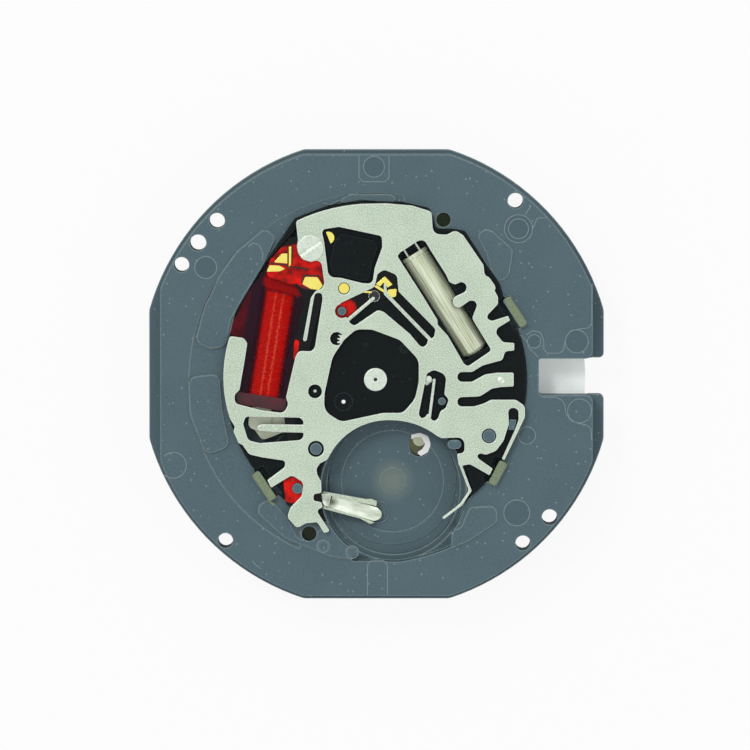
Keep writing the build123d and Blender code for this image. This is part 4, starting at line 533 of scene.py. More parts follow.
def new_piece(name, mesh, slot, material=None, body="plate"):
    """A piece with a material of its own or the one of its slot."""
    piece = bpy.data.objects.new(name, mesh)
    bpy.context.collection.objects.link(piece)
    mesh.materials.clear()
    mesh.materials.append(material or FINISHES[slot])
    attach(piece, body)
    return piece


def mesh_of(work):
    """The plain mesh that an object comes out as. The object itself is removed."""
    bpy.context.collection.objects.link(work)
    graph = bpy.context.evaluated_depsgraph_get()
    result = bpy.data.meshes.new_from_object(work.evaluated_get(graph))
    bpy.data.objects.remove(work)
    return result


def with_modifier(mesh, kind, inputs=None, **settings):
    """A new mesh: this one with a modifier applied, and the inputs of the modifier's tree set."""
    work = bpy.data.objects.new("work", mesh)
    modifier = work.modifiers.new("work", kind)
    for setting, value in settings.items():
        setattr(modifier, setting, value)
    for identifier, value in (inputs or {}).items():
        modifier[identifier] = value
    return mesh_of(work)


LEVEL = 0.9995  # how near to upright a face's normal is where the face is level
ROUNDED_TURN = math.radians(30)  # an edge that turns more is rounded
SHARP_TURN = math.radians(38)  # one that still turns more is shaded sharp


def edged(mesh, width):
    """The mesh with its edges rounded: level faces stay flat, the rest is shaded smooth."""
    result = with_modifier(
        mesh, "BEVEL", width=width, segments=2, limit_method="ANGLE",
        angle_limit=ROUNDED_TURN, use_clamp_overlap=True,
    )
    result.set_sharp_from_angle(angle=SHARP_TURN)
    smooth = [abs(face.normal.z) < LEVEL for face in result.polygons]
    result.polygons.foreach_set("use_smooth", smooth)
    return result


CORNER_SHARE = 0.42  # of the shorter run beside a corner, taken up by its rounding
CORNER_MOST = 0.16 * MM
CORNER_LEAST_TURN = math.radians(13)
NOTCH_CORNERS_PX = ((592.8, 358), (592.8, 393.5), (603.5, 357), (603.5, 394.5))
NOTCH_REACH = 0.2 * MM  # how near to those places an edge is, to be one of theirs
NOTCH_CORNER = 0.50 * MM
CORNER_STEPS, NOTCH_STEPS = 3, 8
FLAT_TURN = math.radians(1)  # faces that turn less are one face


def upright(edge):
    low, high = edge.verts
    return (low.co - high.co).xy.length < MERGE and abs(low.co.z - high.co.z) > MERGE


def soften_corners(work):
    """Round the upright edges where a cut plate's outline turns sharply."""
    corners = []
    for edge in work.edges:
        if len(edge.link_faces) != 2 or not upright(edge):
            continue
        if edge.calc_face_angle(0.0) < CORNER_LEAST_TURN:
            continue
        top = max(edge.verts, key=lambda vert: vert.co.z)
        runs = [
            beside.calc_length()
            for beside in top.link_edges
            if beside is not edge and set(beside.link_faces) & set(edge.link_faces)
        ]
        if runs:
            most = CORNER_MOST
            for place in NOTCH_CORNERS_PX:
                if (at(place) - edge.verts[0].co).xy.length < NOTCH_REACH:
                    most = NOTCH_CORNER
            corners.append((edge, min(min(runs) * CORNER_SHARE, most)))
    for edge, offset in corners:
        if edge.is_valid and offset > 4 * MERGE:
            bmesh.ops.bevel(
                work, geom=[edge], offset=offset,
                segments=CORNER_STEPS if offset < 2 * CORNER_MOST else NOTCH_STEPS,
                profile=0.5, affect="EDGES", clamp_overlap=False,
            )


def rounded(node, width, soften):
    """A merged copy of a CAD node with its corners and edges rounded, which stands for the node."""
    mesh = frame["nodes"][node].data.copy()
    work = bmesh.new()
    work.from_mesh(mesh)
    bmesh.ops.remove_doubles(work, verts=work.verts, dist=MERGE)
    bmesh.ops.dissolve_limit(work, angle_limit=FLAT_TURN, verts=work.verts, edges=work.edges)
    bmesh.ops.recalc_face_normals(work, faces=work.faces)
    if soften:
        soften_corners(work)
    work.to_mesh(mesh)
    work.free()
    return edged(mesh, width)


RUN_SHARE = 0.48  # of a side, the most that the rounding of a corner takes


def outline(corners, steps=5):
    """Places round an outline of the photograph: each corner comes with its rounding radius."""
    places = []
    for index, (x, y, radius) in enumerate(corners):
        corner = at((x, y))
        before = at(corners[index - 1][:2]) - corner
        after = at(corners[(index + 1) % len(corners)][:2]) - corner
        if not radius:
            places.append(corner)
            continue
        half_turn = before.angle(after) / 2
        most = RUN_SHARE * min(before.length, after.length)
        cut = min(radius * PX / math.tan(half_turn), most)
        start = corner + before.normalized() * cut
        end = corner + after.normalized() * cut
        for step in range(steps + 1):
            share = step / steps
            places.append(start.lerp(corner, share).lerp(corner.lerp(end, share), share))
    return places


def cut_plate(places, bottom, top):
    """A flat plate with that outline."""
    mesh = bpy.data.meshes.new("cut_plate")
    work = bmesh.new()
    rings = [[work.verts.new((p.x, p.y, z)) for p in places] for z in (bottom, top)]
    work.faces.new(rings[0])
    work.faces.new(rings[1])
    count = len(places)
    for index in range(count):
        following = (index + 1) % count
        low, high = ((ring[index], ring[following]) for ring in rings)
        work.faces.new((*low, high[1], high[0]))
    bmesh.ops.recalc_face_normals(work, faces=work.faces)
    work.to_mesh(mesh)
    work.free()
    return edged(mesh, FINE)


def swung(centre_px, radius_px, angle, z=0.0):
    """The place at that angle and distance from a place in the photograph."""
    return at(centre_px, z) + Vector((math.cos(angle), math.sin(angle), 0)) * radius_px * PX


def round_places(centre_px, radius_px, count=40):
    turn = 2 * math.pi / count
    return [swung(centre_px, radius_px, i * turn) for i in range(count)]


def round_plate(centre_px, radius_px, bottom, top, count=40):
    return cut_plate(round_places(centre_px, radius_px, count), bottom, top)


def turned_piece(profile, centre, count=40):
    """A solid turned about an upright axis: its profile is radius and height, from axis to axis."""
    mesh = bpy.data.meshes.new("turned")
    work = bmesh.new()
    verts = [work.verts.new((centre.x + r, centre.y, z)) for r, z in profile]
    edges = [work.edges.new(pair) for pair in zip(verts, verts[1:])]
    bmesh.ops.spin(
        work, geom=verts + edges, cent=(centre.x, centre.y, 0), axis=(0, 0, 1),
        angle=2 * math.pi, steps=count, use_merge=True,
    )
    bmesh.ops.remove_doubles(work, verts=work.verts, dist=MERGE)
    bmesh.ops.recalc_face_normals(work, faces=work.faces)
    work.to_mesh(mesh)
    work.free()
    return mesh


def joined(meshes):
    """One mesh from several."""
    work = bmesh.new()
    for mesh in meshes:
        work.from_mesh(mesh)
    result = bpy.data.meshes.new("joined")
    work.to_mesh(result)
    work.free()
    for mesh in meshes:
        bpy.data.meshes.remove(mesh)
    return result


# Geometry Nodes


class Tree(Graph):
    """A Geometry Nodes tree under construction, with named inputs."""

    def __init__(self, name, **inputs):
        self.group = bpy.data.node_groups.new(name, "GeometryNodeTree")
        super().__init__(self.group)
        face = self.group.interface
        face.new_socket("Geometry", in_out="OUTPUT", socket_type="NodeSocketGeometry")
        face.new_socket("Geometry", in_out="INPUT", socket_type="NodeSocketGeometry")
        self.identifiers = {}
        for label, kind in inputs.items():
            socket = face.new_socket(label, in_out="INPUT", socket_type="NodeSocket" + kind)
            self.identifiers[label] = socket.identifier
        self.entry = self.node("NodeGroupInput")

    def given(self, label):
        return self.entry.outputs[label]

    def sweep(self, path, radius, sides):
        """End the tree with a capped tube along the path: real, smooth, with its material."""
        inputs = {"Radius": radius, "Resolution": sides}
        section = self.node("GeometryNodeCurvePrimitiveCircle", inputs).outputs["Curve"]
        inputs = {"Curve": path, "Profile Curve": section, "Fill Caps": True}
        result = self.node("GeometryNodeCurveToMesh", inputs).outputs["Mesh"]
        for kind, inputs in (
            ("GeometryNodeSetShadeSmooth", {}),
            ("GeometryNodeRealizeInstances", {}),
            ("GeometryNodeSetMaterial", {"Material": self.given("Material")}),
        ):
            result = self.node(kind, {"Geometry": result, **inputs}).outputs["Geometry"]
        self.node("NodeGroupOutput", {"Geometry": result})

    def grow(self, mesh, **values):
        """The tree's result on a mesh, as a plain mesh."""
        inputs = {self.identifiers[label]: value for label, value in values.items()}
        return with_modifier(mesh, "NODES", inputs, node_group=self.group)


def bead_tree():
    """A bead of round section along every line of a mesh."""
    tree = Tree("bead_along_lines", Radius="Float", Sides="Int", Material="Material")
    lines = tree.node("GeometryNodeMeshToCurve", {"Mesh": tree.given("Geometry")})
    tree.sweep(lines.outputs["Curve"], tree.given("Radius"), tree.given("Sides"))
    return tree


TURN_STEPS = 44
WIRE_SIDES = 7


def winding_tree():
    """A wire wound round a flattened former, in close turns that wander a little."""
    tree = Tree(
        "wound_wire", Turns="Float", Width="Float", Height="Float", Length="Float", Wire="Float",
        Fullness="Float", Wander="Float", Seed="Int", Material="Material",
    )
    spiral = tree.node("GeometryNodeCurveSpiral", {
        "Resolution": TURN_STEPS, "Rotations": tree.given("Turns"), "Height": tree.given("Length"),
        "Start Radius": 1.0, "End Radius": 1.0,
    })
    position = tree.node("GeometryNodeInputPosition").outputs["Position"]
    split = tree.node("ShaderNodeSeparateXYZ", {"Vector": position})
    flattened = {"Z": split.outputs["Z"]}
    for axis, size in (("X", "Width"), ("Y", "Height")):
        value = split.outputs[axis]
        full = tree.math("POWER", tree.math("ABSOLUTE", value), tree.given("Fullness"))
        half = tree.math(
            "SUBTRACT", tree.math("MULTIPLY", tree.given(size), 0.5), tree.given("Wire")
        )
        signed = tree.math("MULTIPLY", full, tree.math("SIGN", value))
        flattened[axis] = tree.math("MULTIPLY", signed, half)
    low = tree.math("MULTIPLY", tree.given("Wander"), -1.0)
    inputs = {"Min": low, "Max": tree.given("Wander"), "Seed": tree.given("Seed")}
    wander = tree.node("FunctionNodeRandomValue", inputs, data_type="FLOAT_VECTOR")
    place = tree.node("GeometryNodeSetPosition", {
        "Geometry": spiral.outputs["Curve"], "Offset": wander.outputs["Value"],
        "Position": tree.node("ShaderNodeCombineXYZ", flattened).outputs["Vector"],
    })
    tree.sweep(place.outputs["Geometry"], tree.given("Wire"), WIRE_SIDES)
    return tree


def lines_mesh(lines):
    """Lines for the bead tree: each is its places and whether it closes on itself."""
    mesh = bpy.data.meshes.new("lines")
    verts, edges = [], []
    for places, closed in lines:
        first = len(verts)
        verts += [tuple(place) for place in places]
        edges += [(i, i + 1) for i in range(first, len(verts) - 1)]
        if closed:
            edges.append((len(verts) - 1, first))
    mesh.from_pydata(verts, edges, [])
    return mesh


BEADS = bead_tree()


def beads(name, lines, radius, slot, material=None, sides=8):
    material = material or FINISHES[slot]
    mesh = BEADS.grow(lines_mesh(lines), Radius=radius, Sides=sides, Material=material)
    new_piece(name, mesh, slot, material)


def ring_line(centre_px, radius_px, z, count=36):
    return [Vector((p.x, p.y, z)) for p in round_places(centre_px, radius_px, count)], True


def open_line(points_px, z, radius=2.5):
    """An open line through corners, each rounded."""
    radii = [0] + [radius] * (len(points_px) - 2) + [0]
    corners = [(x, y, r) for (x, y), r in zip(points_px, radii)]
    places = []
    for p in outline(corners, steps=4):
        if not places or (p - places[-1].xyz).length > MERGE:
            places.append(Vector((p.x, p.y, 0)))
    return [Vector((p.x, p.y, z)) for p in places], False


# Pieces that stand for CAD nodes

ROUNDED = {
    "main_plate": (MOULDED, True),
    "train_bridge": (MOULDED, True),
    "ic_block": (MOULDED, True),
    "circuit_cover": (PRESSED, True),
    "circuit_board": (FINE, True),
    "bearing_cap": (FINE, False),
    "quartz_can": (PRESSED, False),
    "cover_screw": (PRESSED, False),
    "date_disc": (FINE, False),
    "date_guard": (FINE, False),
    "setting_lever": (FINE, False),
    "reset_pin": (FINE, False),
}
for node, (width, soften) in ROUNDED.items():
    mesh = rounded(node, width, soften)
    piece = new_piece(node + "_dressed", mesh, slot_of[node], finish_of(node), body_of[node])
    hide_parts(node)

# The winding
coil_axis = at(COIL_TOP_PX) - at(COIL_BOTTOM_PX)
COIL_W = 2.90 * MM
COIL_H = 1.44 * MM
FLANGE_T = 0.25 * MM
WIRE_R = 0.055 * MM
WIRE_PITCH = 1.9 * WIRE_R
coil_middle_z = (bottom_of("coil_winding") + top_of("coil_winding")) / 2
coil_run = coil_axis.length - 2 * FLANGE_T - 2 * WIRE_R
winding = winding_tree().grow(
    bpy.data.meshes.new("former"), Turns=coil_run / WIRE_PITCH, Width=COIL_W, Height=COIL_H,
    Length=coil_run, Wire=WIRE_R, Fullness=0.86, Wander=0.006 * MM, Seed=7,
    Material=FINISHES["red_wire"],
)
along = coil_axis.normalized()
across = Vector((0, 0, 1)).cross(along)
start = at(COIL_BOTTOM_PX, coil_middle_z) + along * (FLANGE_T + WIRE_R)
to_coil = Matrix((across, (0, 0, 1), along)).transposed().to_4x4()
to_coil.translation = start
winding.transform(to_coil)
piece = new_piece("winding_turns", winding, "red_wire")
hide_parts("coil_winding")


# Marks on the ring of the plate

BEAD_R = 0.042 * MM
SUNK = 0.015 * MM  # how far a bead's middle lies under the face that it runs on
RING_CIRCLES_PX = (
    ((205.7, 267.8), 11), ((518.5, 229), 10), ((518.5, 229), 14), ((517, 513.8), 13),
    ((527, 436), 8.7), ((534.3, 341.7), 6.7), ((576.9, 341.8), 11.5), ((579.8, 411.5), 12),
    ((374, 167), 10.5),
)
OPEN_ROUND_PX, OPEN_R_PX = (173, 466), 13  # the edge of the plate cuts this one open
RING_LINES_PX = (
    ((526, 335.5), (533, 331), (541, 333), (543.8, 341), (544, 350), (547.5, 353.6), (560, 353.6),
     (563.5, 350.5), (566, 337.5), (571, 331), (580, 329.3), (588.5, 328.5), (592, 324),
     (592, 284)),
    ((513, 333.5), (522, 336), (527.5, 343), (528.5, 348), (533, 352), (538.5, 357.5)),
    ((542, 397.7), (556, 397.7), (562, 400.5), (565.3, 406), (565.8, 414), (571, 421), (579, 424.2),
     (586.5, 425.2), (591, 429), (592, 441)),
    ((359, 155), (359, 178), (363, 182), (385, 182), (389, 178), (389, 155)),
    ((524.9, 215.4), (531.6, 205.5)),
    ((532, 230), (537.5, 218), (547, 218)),
    ((367.5, 597), (367.5, 566), (371, 562), (384, 562), (387.5, 566), (387.5, 597)),
    ((252, 562), (256, 566.5), (261, 570)),
)
lines = [ring_line(centre, radius, RIM_TOP - SUNK) for centre, radius in RING_CIRCLES_PX]
lines += [open_line(points, RIM_TOP - SUNK) for points in RING_LINES_PX]
lines.append(([
    swung(OPEN_ROUND_PX, OPEN_R_PX, math.radians(7 * step), RIM_TOP - SUNK)
    for step in range(-19, 20)
], False))
lines.append(open_line(((323, 203.5), (331, 205), (340, 200)), RIM_TOP - SUNK))
PINS_PX = (((323, 547), 5.3), ((352, 553), 5))
PIN_RING_PX = 6.2
PAD_LINE_PX = ((248, 247), (254, 242.5), (260, 246), (263, 254), (262, 262))
lines += [ring_line(centre, PIN_RING_PX, PAD_TOP - SUNK) for centre, radius in PINS_PX]
lines.append(open_line(PAD_LINE_PX, PAD_TOP - SUNK, 4))
beads("ring_marks", lines, BEAD_R, "grey_plastic", lit_grey_lines)

THIN = 0.02 * MM  # how far a small thing stands over what it lies on
ROOTED = 0.05 * MM  # and how far it goes in
pins = [
    round_plate(centre, radius, PAD_TOP - SUNK, PAD_TOP + THIN) for centre, radius in PINS_PX
]
new_piece("pad_pins", joined(pins), "grey_plastic")

# The floor of the well: a step round it, and the metal that shows through its hole, in the white
# glint finish, a painted highlight
WELL_CENTRE_PX = (392.6, 483.3)
STEP_T = 0.05 * MM
WELL_STEP_PX = (50.5, 64)
CUT_SHARE = 0.3  # of a ring's height, cut off its upper edges


def flat_ring(centre_px, inner_px, outer_px, bottom, top, count=72):
    inner, outer = inner_px * PX, outer_px * PX
    edge = CUT_SHARE * (top - bottom)
    profile = [
        (inner, bottom), (inner, top - edge), (inner + edge, top), (outer - edge, top),
        (outer, top - edge), (outer, bottom), (inner, bottom),
    ]
    return turned_piece(profile, at(centre_px), count)


step = flat_ring(WELL_CENTRE_PX, *WELL_STEP_PX, WELL_FLOOR - STEP_T, WELL_FLOOR + STEP_T)
new_piece("well_step", step, "grey_plastic")

EYELET_PX = [
    (411.5, 436.5, 1.5), (420, 434.6, 4), (428.5, 438, 6), (431.2, 446.5, 8), (428, 454.5, 4),
    (421, 458.2, 2), (417, 454.5, 1.5), (422.5, 451, 2), (425.5, 446, 3), (421.5, 438.8, 3),
    (414, 439.2, 1.5), (411.5, 441.8, 1),
]
eyelet = cut_plate(outline(EYELET_PX), WELL_FLOOR, WELL_FLOOR + 0.08 * MM)
new_piece("floor_eyelet", eyelet, "bright_steel", glint)
SHADE_PX = ((419, 446.5), 9.6)
BUTTON_PX = ((419.5, 441.7), 6.4)
shade = round_plate(*SHADE_PX, WELL_FLOOR - 0.5 * THIN, WELL_FLOOR + THIN)
new_piece("floor_shade", shade, "black_plastic", olive_shade)
button = round_plate(*BUTTON_PX, WELL_FLOOR, WELL_FLOOR + 3 * THIN)
new_piece("floor_button", button, "clear_plastic", pale_button)

# The negative strip: a blade with folded sides and a rounded tip, down into the well
STRIP_ROOT_PX = (329, 502.5)
STRIP_TIP_PX = (378, 515.5)
STRIP_ROOT_Z = 2.30 * MM
STRIP_TIP_Z = 1.62 * MM
STRIP_T = 0.07 * MM
STRIP_SHARES = (-0.12, 1.1)  # the slope goes on so far before its root and past its tip
BEND_RUN = 0.25 * MM  # the longest straight run on it
RAIL_H = 0.24 * MM


def on_strip(mesh):
    """Lay a flat piece on the slope of the strip."""
    start = at(STRIP_ROOT_PX)
    run = at(STRIP_TIP_PX) - start
    for vert in mesh.vertices:
        share = (Vector((vert.co.x, vert.co.y, 0)) - start).dot(run) / run.length_squared
        share = min(max(share, STRIP_SHARES[0]), STRIP_SHARES[1])
        vert.co.z += STRIP_ROOT_Z + (STRIP_TIP_Z - STRIP_ROOT_Z) * share
    return mesh


def cross_cut(places):
    """More places along an outline, so a piece made from it can bend."""
    result = []
    for index, place in enumerate(places):
        following = places[(index + 1) % len(places)]
        count = max(1, int((following - place).length / BEND_RUN))
        result += [place.lerp(following, i / count) for i in range(count)]
    return result


def strip_part(corners, bottom, top):
    return on_strip(cut_plate(cross_cut(outline(corners)), bottom, top))


BLADE_PX = [
    (332.5, 496.2, 1), (377, 509.2, 3), (382.2, 514.2, 5), (381, 520.5, 5), (374, 523.2, 4),
    (328.8, 509.6, 1),
]
RAILS_PX = (
    [(322.5, 492.2, 0.5), (366.3, 500.6, 2), (371, 500.3, 2), (376.8, 502.8, 1), (376.6, 508, 1),
     (364, 505, 1), (323, 495.4, 0.5)],
    [(322, 509.6, 0.5), (360, 520.2, 2), (364, 522.5, 2), (369.5, 525.6, 2), (375, 525, 1),
     (371, 522.5, 1), (360, 519, 1), (329, 508.6, 1), (323, 506.8, 0.5)],
)
rails = [strip_part(rail, THIN, RAIL_H) for rail in RAILS_PX]
new_piece("strip_rails", joined(rails), "bright_steel", rail_steel)
ROOT_PX = [
    (316.5, 493.8, 2), (330, 494.6, 1.5), (329, 503, 1.5), (325.5, 508, 1.5), (322.5, 503.5, 1),
    (315, 502.6, 2), (313.8, 498, 1.5),
]
FALL_PX = [(326.5, 495.5, 0.5), (331, 496.5, 0.5), (329.2, 507.5, 0.5), (324.6, 506.3, 0.5)]
ROOT_TOP = 3.07 * MM
strip_parts = [
    strip_part(BLADE_PX, 0, STRIP_T),
    cut_plate(outline(ROOT_PX), ROOT_TOP - STRIP_T, ROOT_TOP),
    cut_plate(outline(FALL_PX), STRIP_ROOT_Z, ROOT_TOP - 0.01 * MM),
]
strip = new_piece("negative_strip", joined(strip_parts), "bright_steel", bright_strip)
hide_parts("negative_terminal")

# A round rise of the floor's rim round the strip's tip
TIP_RING_PX = ((378, 514.2), 10.4, 11.8)
tip_ring = flat_ring(*TIP_RING_PX, WELL_FLOOR - STEP_T, WELL_FLOOR + 2 * STEP_T, 40)
new_piece("tip_ring", tip_ring, "grey_plastic")

# Gold pads of the board, with black gaps in the copper round them
GOLD_T = 0.02 * MM
PADS_PX = (
    [(282.3, 253.5, 1), (288, 253.5, 1), (287.6, 263.6, 1), (273.6, 262.4, 1)],
    [(288.9, 246.5, 0.5), (291.4, 246.5, 0.5), (291, 264, 0.5), (288.8, 268.5, 0.5)],
    [(270, 265.2, 2), (279, 265.6, 1.5), (285.3, 268.6, 1), (280, 271.4, 2), (266.3, 271.8, 1)],
    [(305, 276.8, 2), (317.5, 277.2, 3), (323, 286, 2), (318.5, 290.2, 2.5), (310.5, 288.9, 1.5),
     (302.3, 284, 1)],
    [(375.6, 284, 0.8), (385, 276.4, 1), (392.6, 284.6, 0.8), (387.5, 287.6, 0.5),
     (383.5, 282.5, 1), (380, 286.6, 0.5)],
    [(374.2, 286.8, 0.4), (376, 284.9, 0.4), (386, 291, 0.4), (384.6, 293.2, 0.4)],
    [(388, 289.6, 2), (396.8, 288.8, 1), (396, 296.6, 2), (390.5, 298, 2), (386.6, 293.6, 2)],
    [(362.6, 290.9, 0.4), (372, 291.3, 0.4), (371.6, 293.3, 0.4), (362.6, 292.7, 0.4)],
)
pads = [cut_plate(outline(pad), BOARD_TOP - GOLD_T, BOARD_TOP + GOLD_T) for pad in PADS_PX]
ROUND_PAD_PX = ((344, 288.4), 5.3)
pads.append(round_plate(*ROUND_PAD_PX, BOARD_TOP - GOLD_T, BOARD_TOP + GOLD_T))
TAB_PX, TAB_R_PX, TAB_TURN = (328.2, 237.8), 6.2, math.radians(21.4)
HALF_STEPS = 16
half_round = [
    swung(TAB_PX, TAB_R_PX, TAB_TURN + math.pi * (step / HALF_STEPS - 0.5))
    for step in range(HALF_STEPS + 1)
]
pads.append(cut_plate(half_round, bottom_of("circuit_board"), BOARD_TOP))
gold_pads = new_piece("gold_pads", joined(pads), "gold")
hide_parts("contact_pads")

GAPS_PX = (
    ((270.5, 263.6), (287.5, 265), (288.3, 269.5)), ((287.9, 247), (287.9, 263.5)),
    ((292.2, 246), (292, 264)), ((301.5, 283), (304, 275.8), (318.5, 275.6), (321.5, 281)),
    ((300.5, 285.2), (309.5, 290)), ((289, 266.5), (299, 268), (309.5, 269.5)),
)
GAP_R = 0.055 * MM
gaps = [open_line(points, BOARD_TOP - 0.5 * GOLD_T, 1.5) for points in GAPS_PX]
beads("copper_gaps", gaps, GAP_R, "black_plastic", black_ink_and_shade, sides=6)

# A black round on the board under the end of a finger, and the bright line round it
ROUND_PX, ROUND_R_PX, LINE_R_PX = (374.2, 296.2), 4.6, 5.4
black_round = round_plate(ROUND_PX, ROUND_R_PX, BOARD_TOP - GOLD_T, BOARD_TOP + 0.5 * GOLD_T, 32)
new_piece("board_round", black_round, "black_plastic", black_ink_and_shade)
line = ring_line(ROUND_PX, LINE_R_PX, BOARD_TOP, 32)
beads("board_ring", [line], 0.022 * MM, "bright_steel", plated)

# The end of the coil's film, turned down over the bobbin
FILM_END_PX = [
    (236, 392, 1), (288, 400, 1), (287.4, 411.5, 2), (283, 412, 2), (236.5, 404.5, 3),
    (234, 400, 3),
]
film_top = top_of("coil_film")
film_end = cut_plate(outline(FILM_END_PX), film_top - 0.03 * MM, film_top + 0.01 * MM)
new_piece("film_end", film_end, "red_film", plum_film)

# The crystal's can: its rolled rim
can_axis = (at(CAN_BOTTOM_PX) - at(CAN_TOP_PX)).normalized()
can_side = Vector((0, 0, 1)).cross(can_axis)
can_z = (bottom_of("quartz_can") + top_of("quartz_can")) / 2
can_r = (top_of("quartz_can") - bottom_of("quartz_can")) / 2
CAN_STEPS = 40


def round_can(distance, radius):
    """A line round the can, at that distance from its top end."""
    middle = at(CAN_TOP_PX, can_z) + can_axis * distance
    turns = [2 * math.pi * step / CAN_STEPS for step in range(CAN_STEPS)]
    return [
        middle + (can_side * math.cos(turn) + Vector((0, 0, math.sin(turn)))) * radius
        for turn in turns
    ], True


rims = [round_can(0.05 * MM, can_r - 0.015 * MM), round_can(0.30 * MM, can_r - 0.02 * MM)]
beads("can_rim", rims, 0.035 * MM, "can_metal")

# Small things on the train bridge
BEARING_PX, GLINT_DOT_R_PX = (343.5, 402), 2.0
BLIND_BEARING_PX = ((366, 345), 1.9)
HOLE_SHADE_R_PX = 1.5
SOCKET_PX = (404, 349)
lines = [
    ring_line(BEARING_PX, 9, BRIDGE_TOP - SUNK), ring_line(SOCKET_PX, 4.2, BRIDGE_TOP - SUNK, 24),
    ring_line(SOCKET_PX, 2.2, BRIDGE_TOP - SUNK, 16),
]
beads("bridge_marks", lines, 0.03 * MM, "black_plastic", lit_black_lines)
cap = round_plate(*BLIND_BEARING_PX, BRIDGE_TOP - ROOTED, BRIDGE_TOP + THIN, 20)
new_piece("bearing_cover", cap, "black_plastic")
# A white dot on the bearing: painted highlight on its pivot
glint_dot = round_plate(BEARING_PX, GLINT_DOT_R_PX, BRIDGE_TOP - ROOTED, BRIDGE_TOP + THIN, 20)
new_piece("bearing_glint", glint_dot, "clear_plastic", glint)
# A black dot on the cap: painted shade of the hole in its middle
cap_top = top_of("bearing_cap")
hole_shade = round_plate(HUB_PX, HOLE_SHADE_R_PX, cap_top - THIN, cap_top + 0.5 * THIN, 20)
new_piece("bearing_hole_shade", hole_shade, "black_plastic", black_ink_and_shade)

# A wheel whose teeth show in a round window of the cover
WHEEL_PX = (350.5, 341.5)
WHEEL_STEPS = 88  # four to a tooth
SEEN_STEPS = range(29, 48)
BEHIND_PX = ((341, 344.8), (345.5, 338), (345.5, 330))  # the piece's edge under the cover
TIP_R_PX, NOTCH_R_PX = 13.6, 10.8
teeth = []
for index in SEEN_STEPS:
    radius_px = TIP_R_PX if index % 4 < 2 else NOTCH_R_PX
    angle = 2 * math.pi * (index + 0.5) / WHEEL_STEPS
    teeth.append(swung(WHEEL_PX, radius_px, angle))
teeth += [at(place) for place in BEHIND_PX]
wheel = cut_plate(teeth, BOARD_TOP + 0.005 * MM, BOARD_TOP + ROOTED)
new_piece("window_wheel", wheel, "bright_steel", plated)

# Small things on the cover
DIMPLE_PX = (501, 380.5)
DIMPLE_MM = ((0, 0.035), (0.13, 0.03), (0.25, 0.01), (0.30, -0.02), (0, -0.02))
profile = [(radius * MM, COVER_TOP + height * MM) for radius, height in DIMPLE_MM]
dimple = turned_piece(profile, at(DIMPLE_PX), 28)
new_piece("tongue_dimple", dimple, "cover_steel", plated)
STOP_PX = [(510, 419.5, 1), (516.5, 420, 1), (514.5, 430, 1), (508.5, 430, 1)]
stop = cut_plate(outline(STOP_PX), BRIDGE_TOP - ROOTED, BRIDGE_TOP + 0.20 * MM)
new_piece("spring_stop", stop, "grey_plastic")
PIVOT_PX = ((513.3, 413.6), 5.2)
pivot = round_plate(*PIVOT_PX, BRIDGE_TOP - ROOTED, BRIDGE_TOP + 0.12 * MM, 32)
new_piece("spring_pivot", pivot, "black_plastic")

# Numbers of the days, on the dial side of the date disc
DAYS = 31
NUMBER_R = 12.55 * MM
NUMBER_H = 1.75 * MM
NUMBER_T = 0.008 * MM
NUMBER_SPACING = 0.94
disc_face = bottom_of("date_disc")
numbers = []
for day in range(1, DAYS + 1):
    text = bpy.data.curves.new("day", "FONT")
    text.body = str(day)
    text.size = NUMBER_H
    text.align_x = text.align_y = "CENTER"
    text.extrude = NUMBER_T
    text.space_character = NUMBER_SPACING
    figure = mesh_of(bpy.data.objects.new("day", text))
    angle = -2 * math.pi * (day - 1) / DAYS
    outward = Vector((math.cos(angle), math.sin(angle), 0))
    upward = Vector((math.sin(angle), -math.cos(angle), 0))
    turn = Matrix((outward, upward, outward.cross(upward))).transposed().to_4x4()
    turn.translation = outward * NUMBER_R + Vector((0, 0, disc_face))
    figure.transform(turn)
    numbers.append(figure)
new_piece("day_numbers", joined(numbers), "white_plastic", black_ink_and_shade, "calendar")


# The rest of the CAD nodes get their finish
for node, source in frame["nodes"].items():
    source.data.materials.clear()
    source.data.materials.append(finish_of(node))


# Stage, light and camera


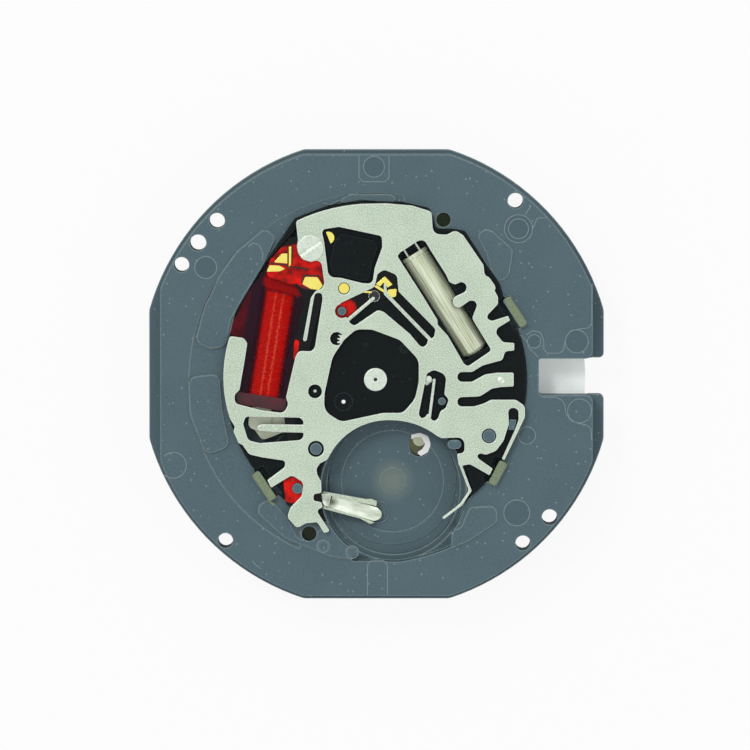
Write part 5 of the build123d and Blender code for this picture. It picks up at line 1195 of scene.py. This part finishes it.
def set_stage():
    half = 0.6
    floor_z = cad_box[0][2] - 0.02 * MM
    mesh = bpy.data.meshes.new("floor")
    signs = ((-1, -1), (1, -1), (1, 1), (-1, 1))
    mesh.from_pydata([(x * half, y * half, floor_z) for x, y in signs], [], [(0, 1, 2, 3)])
    floor = bpy.data.objects.new("floor", mesh)
    bpy.context.collection.objects.link(floor)
    paper = Finish("paper", roughness=0.9, Base_Color=(0.9, 0.9, 0.9, 1))
    path = paper.node("ShaderNodeLightPath").outputs
    seen = paper.math("MAXIMUM", path["Is Camera Ray"], path["Is Transmission Ray"])
    glow = paper.node("ShaderNodeEmission", {"Color": (1, 1, 1, 1)}).outputs["Emission"]
    inputs = {"Fac": paper.math("MULTIPLY", seen, 0.9), 1: paper.shader.outputs["BSDF"], 2: glow}
    swap = paper.node("ShaderNodeMixShader", inputs).outputs["Shader"]
    paper.feed(paper.nodes["Material Output"].inputs["Surface"], swap)
    mesh.materials.append(paper.material)


def set_light():
    world = bpy.data.worlds.new("room")
    bpy.context.scene.world = world
    world.use_nodes = True
    room = Graph(world.node_tree)
    path = room.node("ShaderNodeLightPath").outputs
    seen = room.math("MAXIMUM", path["Is Camera Ray"], path["Is Glossy Ray"])
    sky = room.nodes["Background"]
    room.feed(sky.inputs["Color"], (1, 1, 1, 1))
    room.feed(sky.inputs["Strength"], room.span(seen, 0.6, 1.0, start=0, end=1))
    for name, place, watts, size in (
        ("key", (-0.25, 0.30, 0.55), 1.3, 0.18),
        ("fill", (0.35, -0.20, 0.45), 0.35, 0.30),
    ):
        lamp = bpy.data.lights.new(name, "AREA")
        lamp.energy = watts
        lamp.size = size
        lamp_object = bpy.data.objects.new(name, lamp)
        lamp_object.location = place
        lamp_object.rotation_euler = (-Vector(place)).to_track_quat("-Z", "Y").to_euler()
        bpy.context.collection.objects.link(lamp_object)


def set_camera():
    distance = 0.6
    tilt = math.radians(3)
    lens = bpy.data.cameras.new("camera")
    lens.sensor_width = 36
    lens.lens = lens.sensor_width * distance / (IMAGE_W_PX * PX)
    lens.clip_start = 0.01
    lens.clip_end = 5
    camera = bpy.data.objects.new("camera", lens)
    target = at(IMAGE_CENTRE_PX, top_of("circuit_cover"))
    camera.location = target + Vector((0, distance * math.sin(tilt), distance * math.cos(tilt)))
    camera.rotation_euler = (-tilt, 0, 0)
    bpy.context.collection.objects.link(camera)
    bpy.context.scene.camera = camera


set_stage()
set_light()
set_camera()
bpy.context.scene.view_settings.view_transform = "Standard"
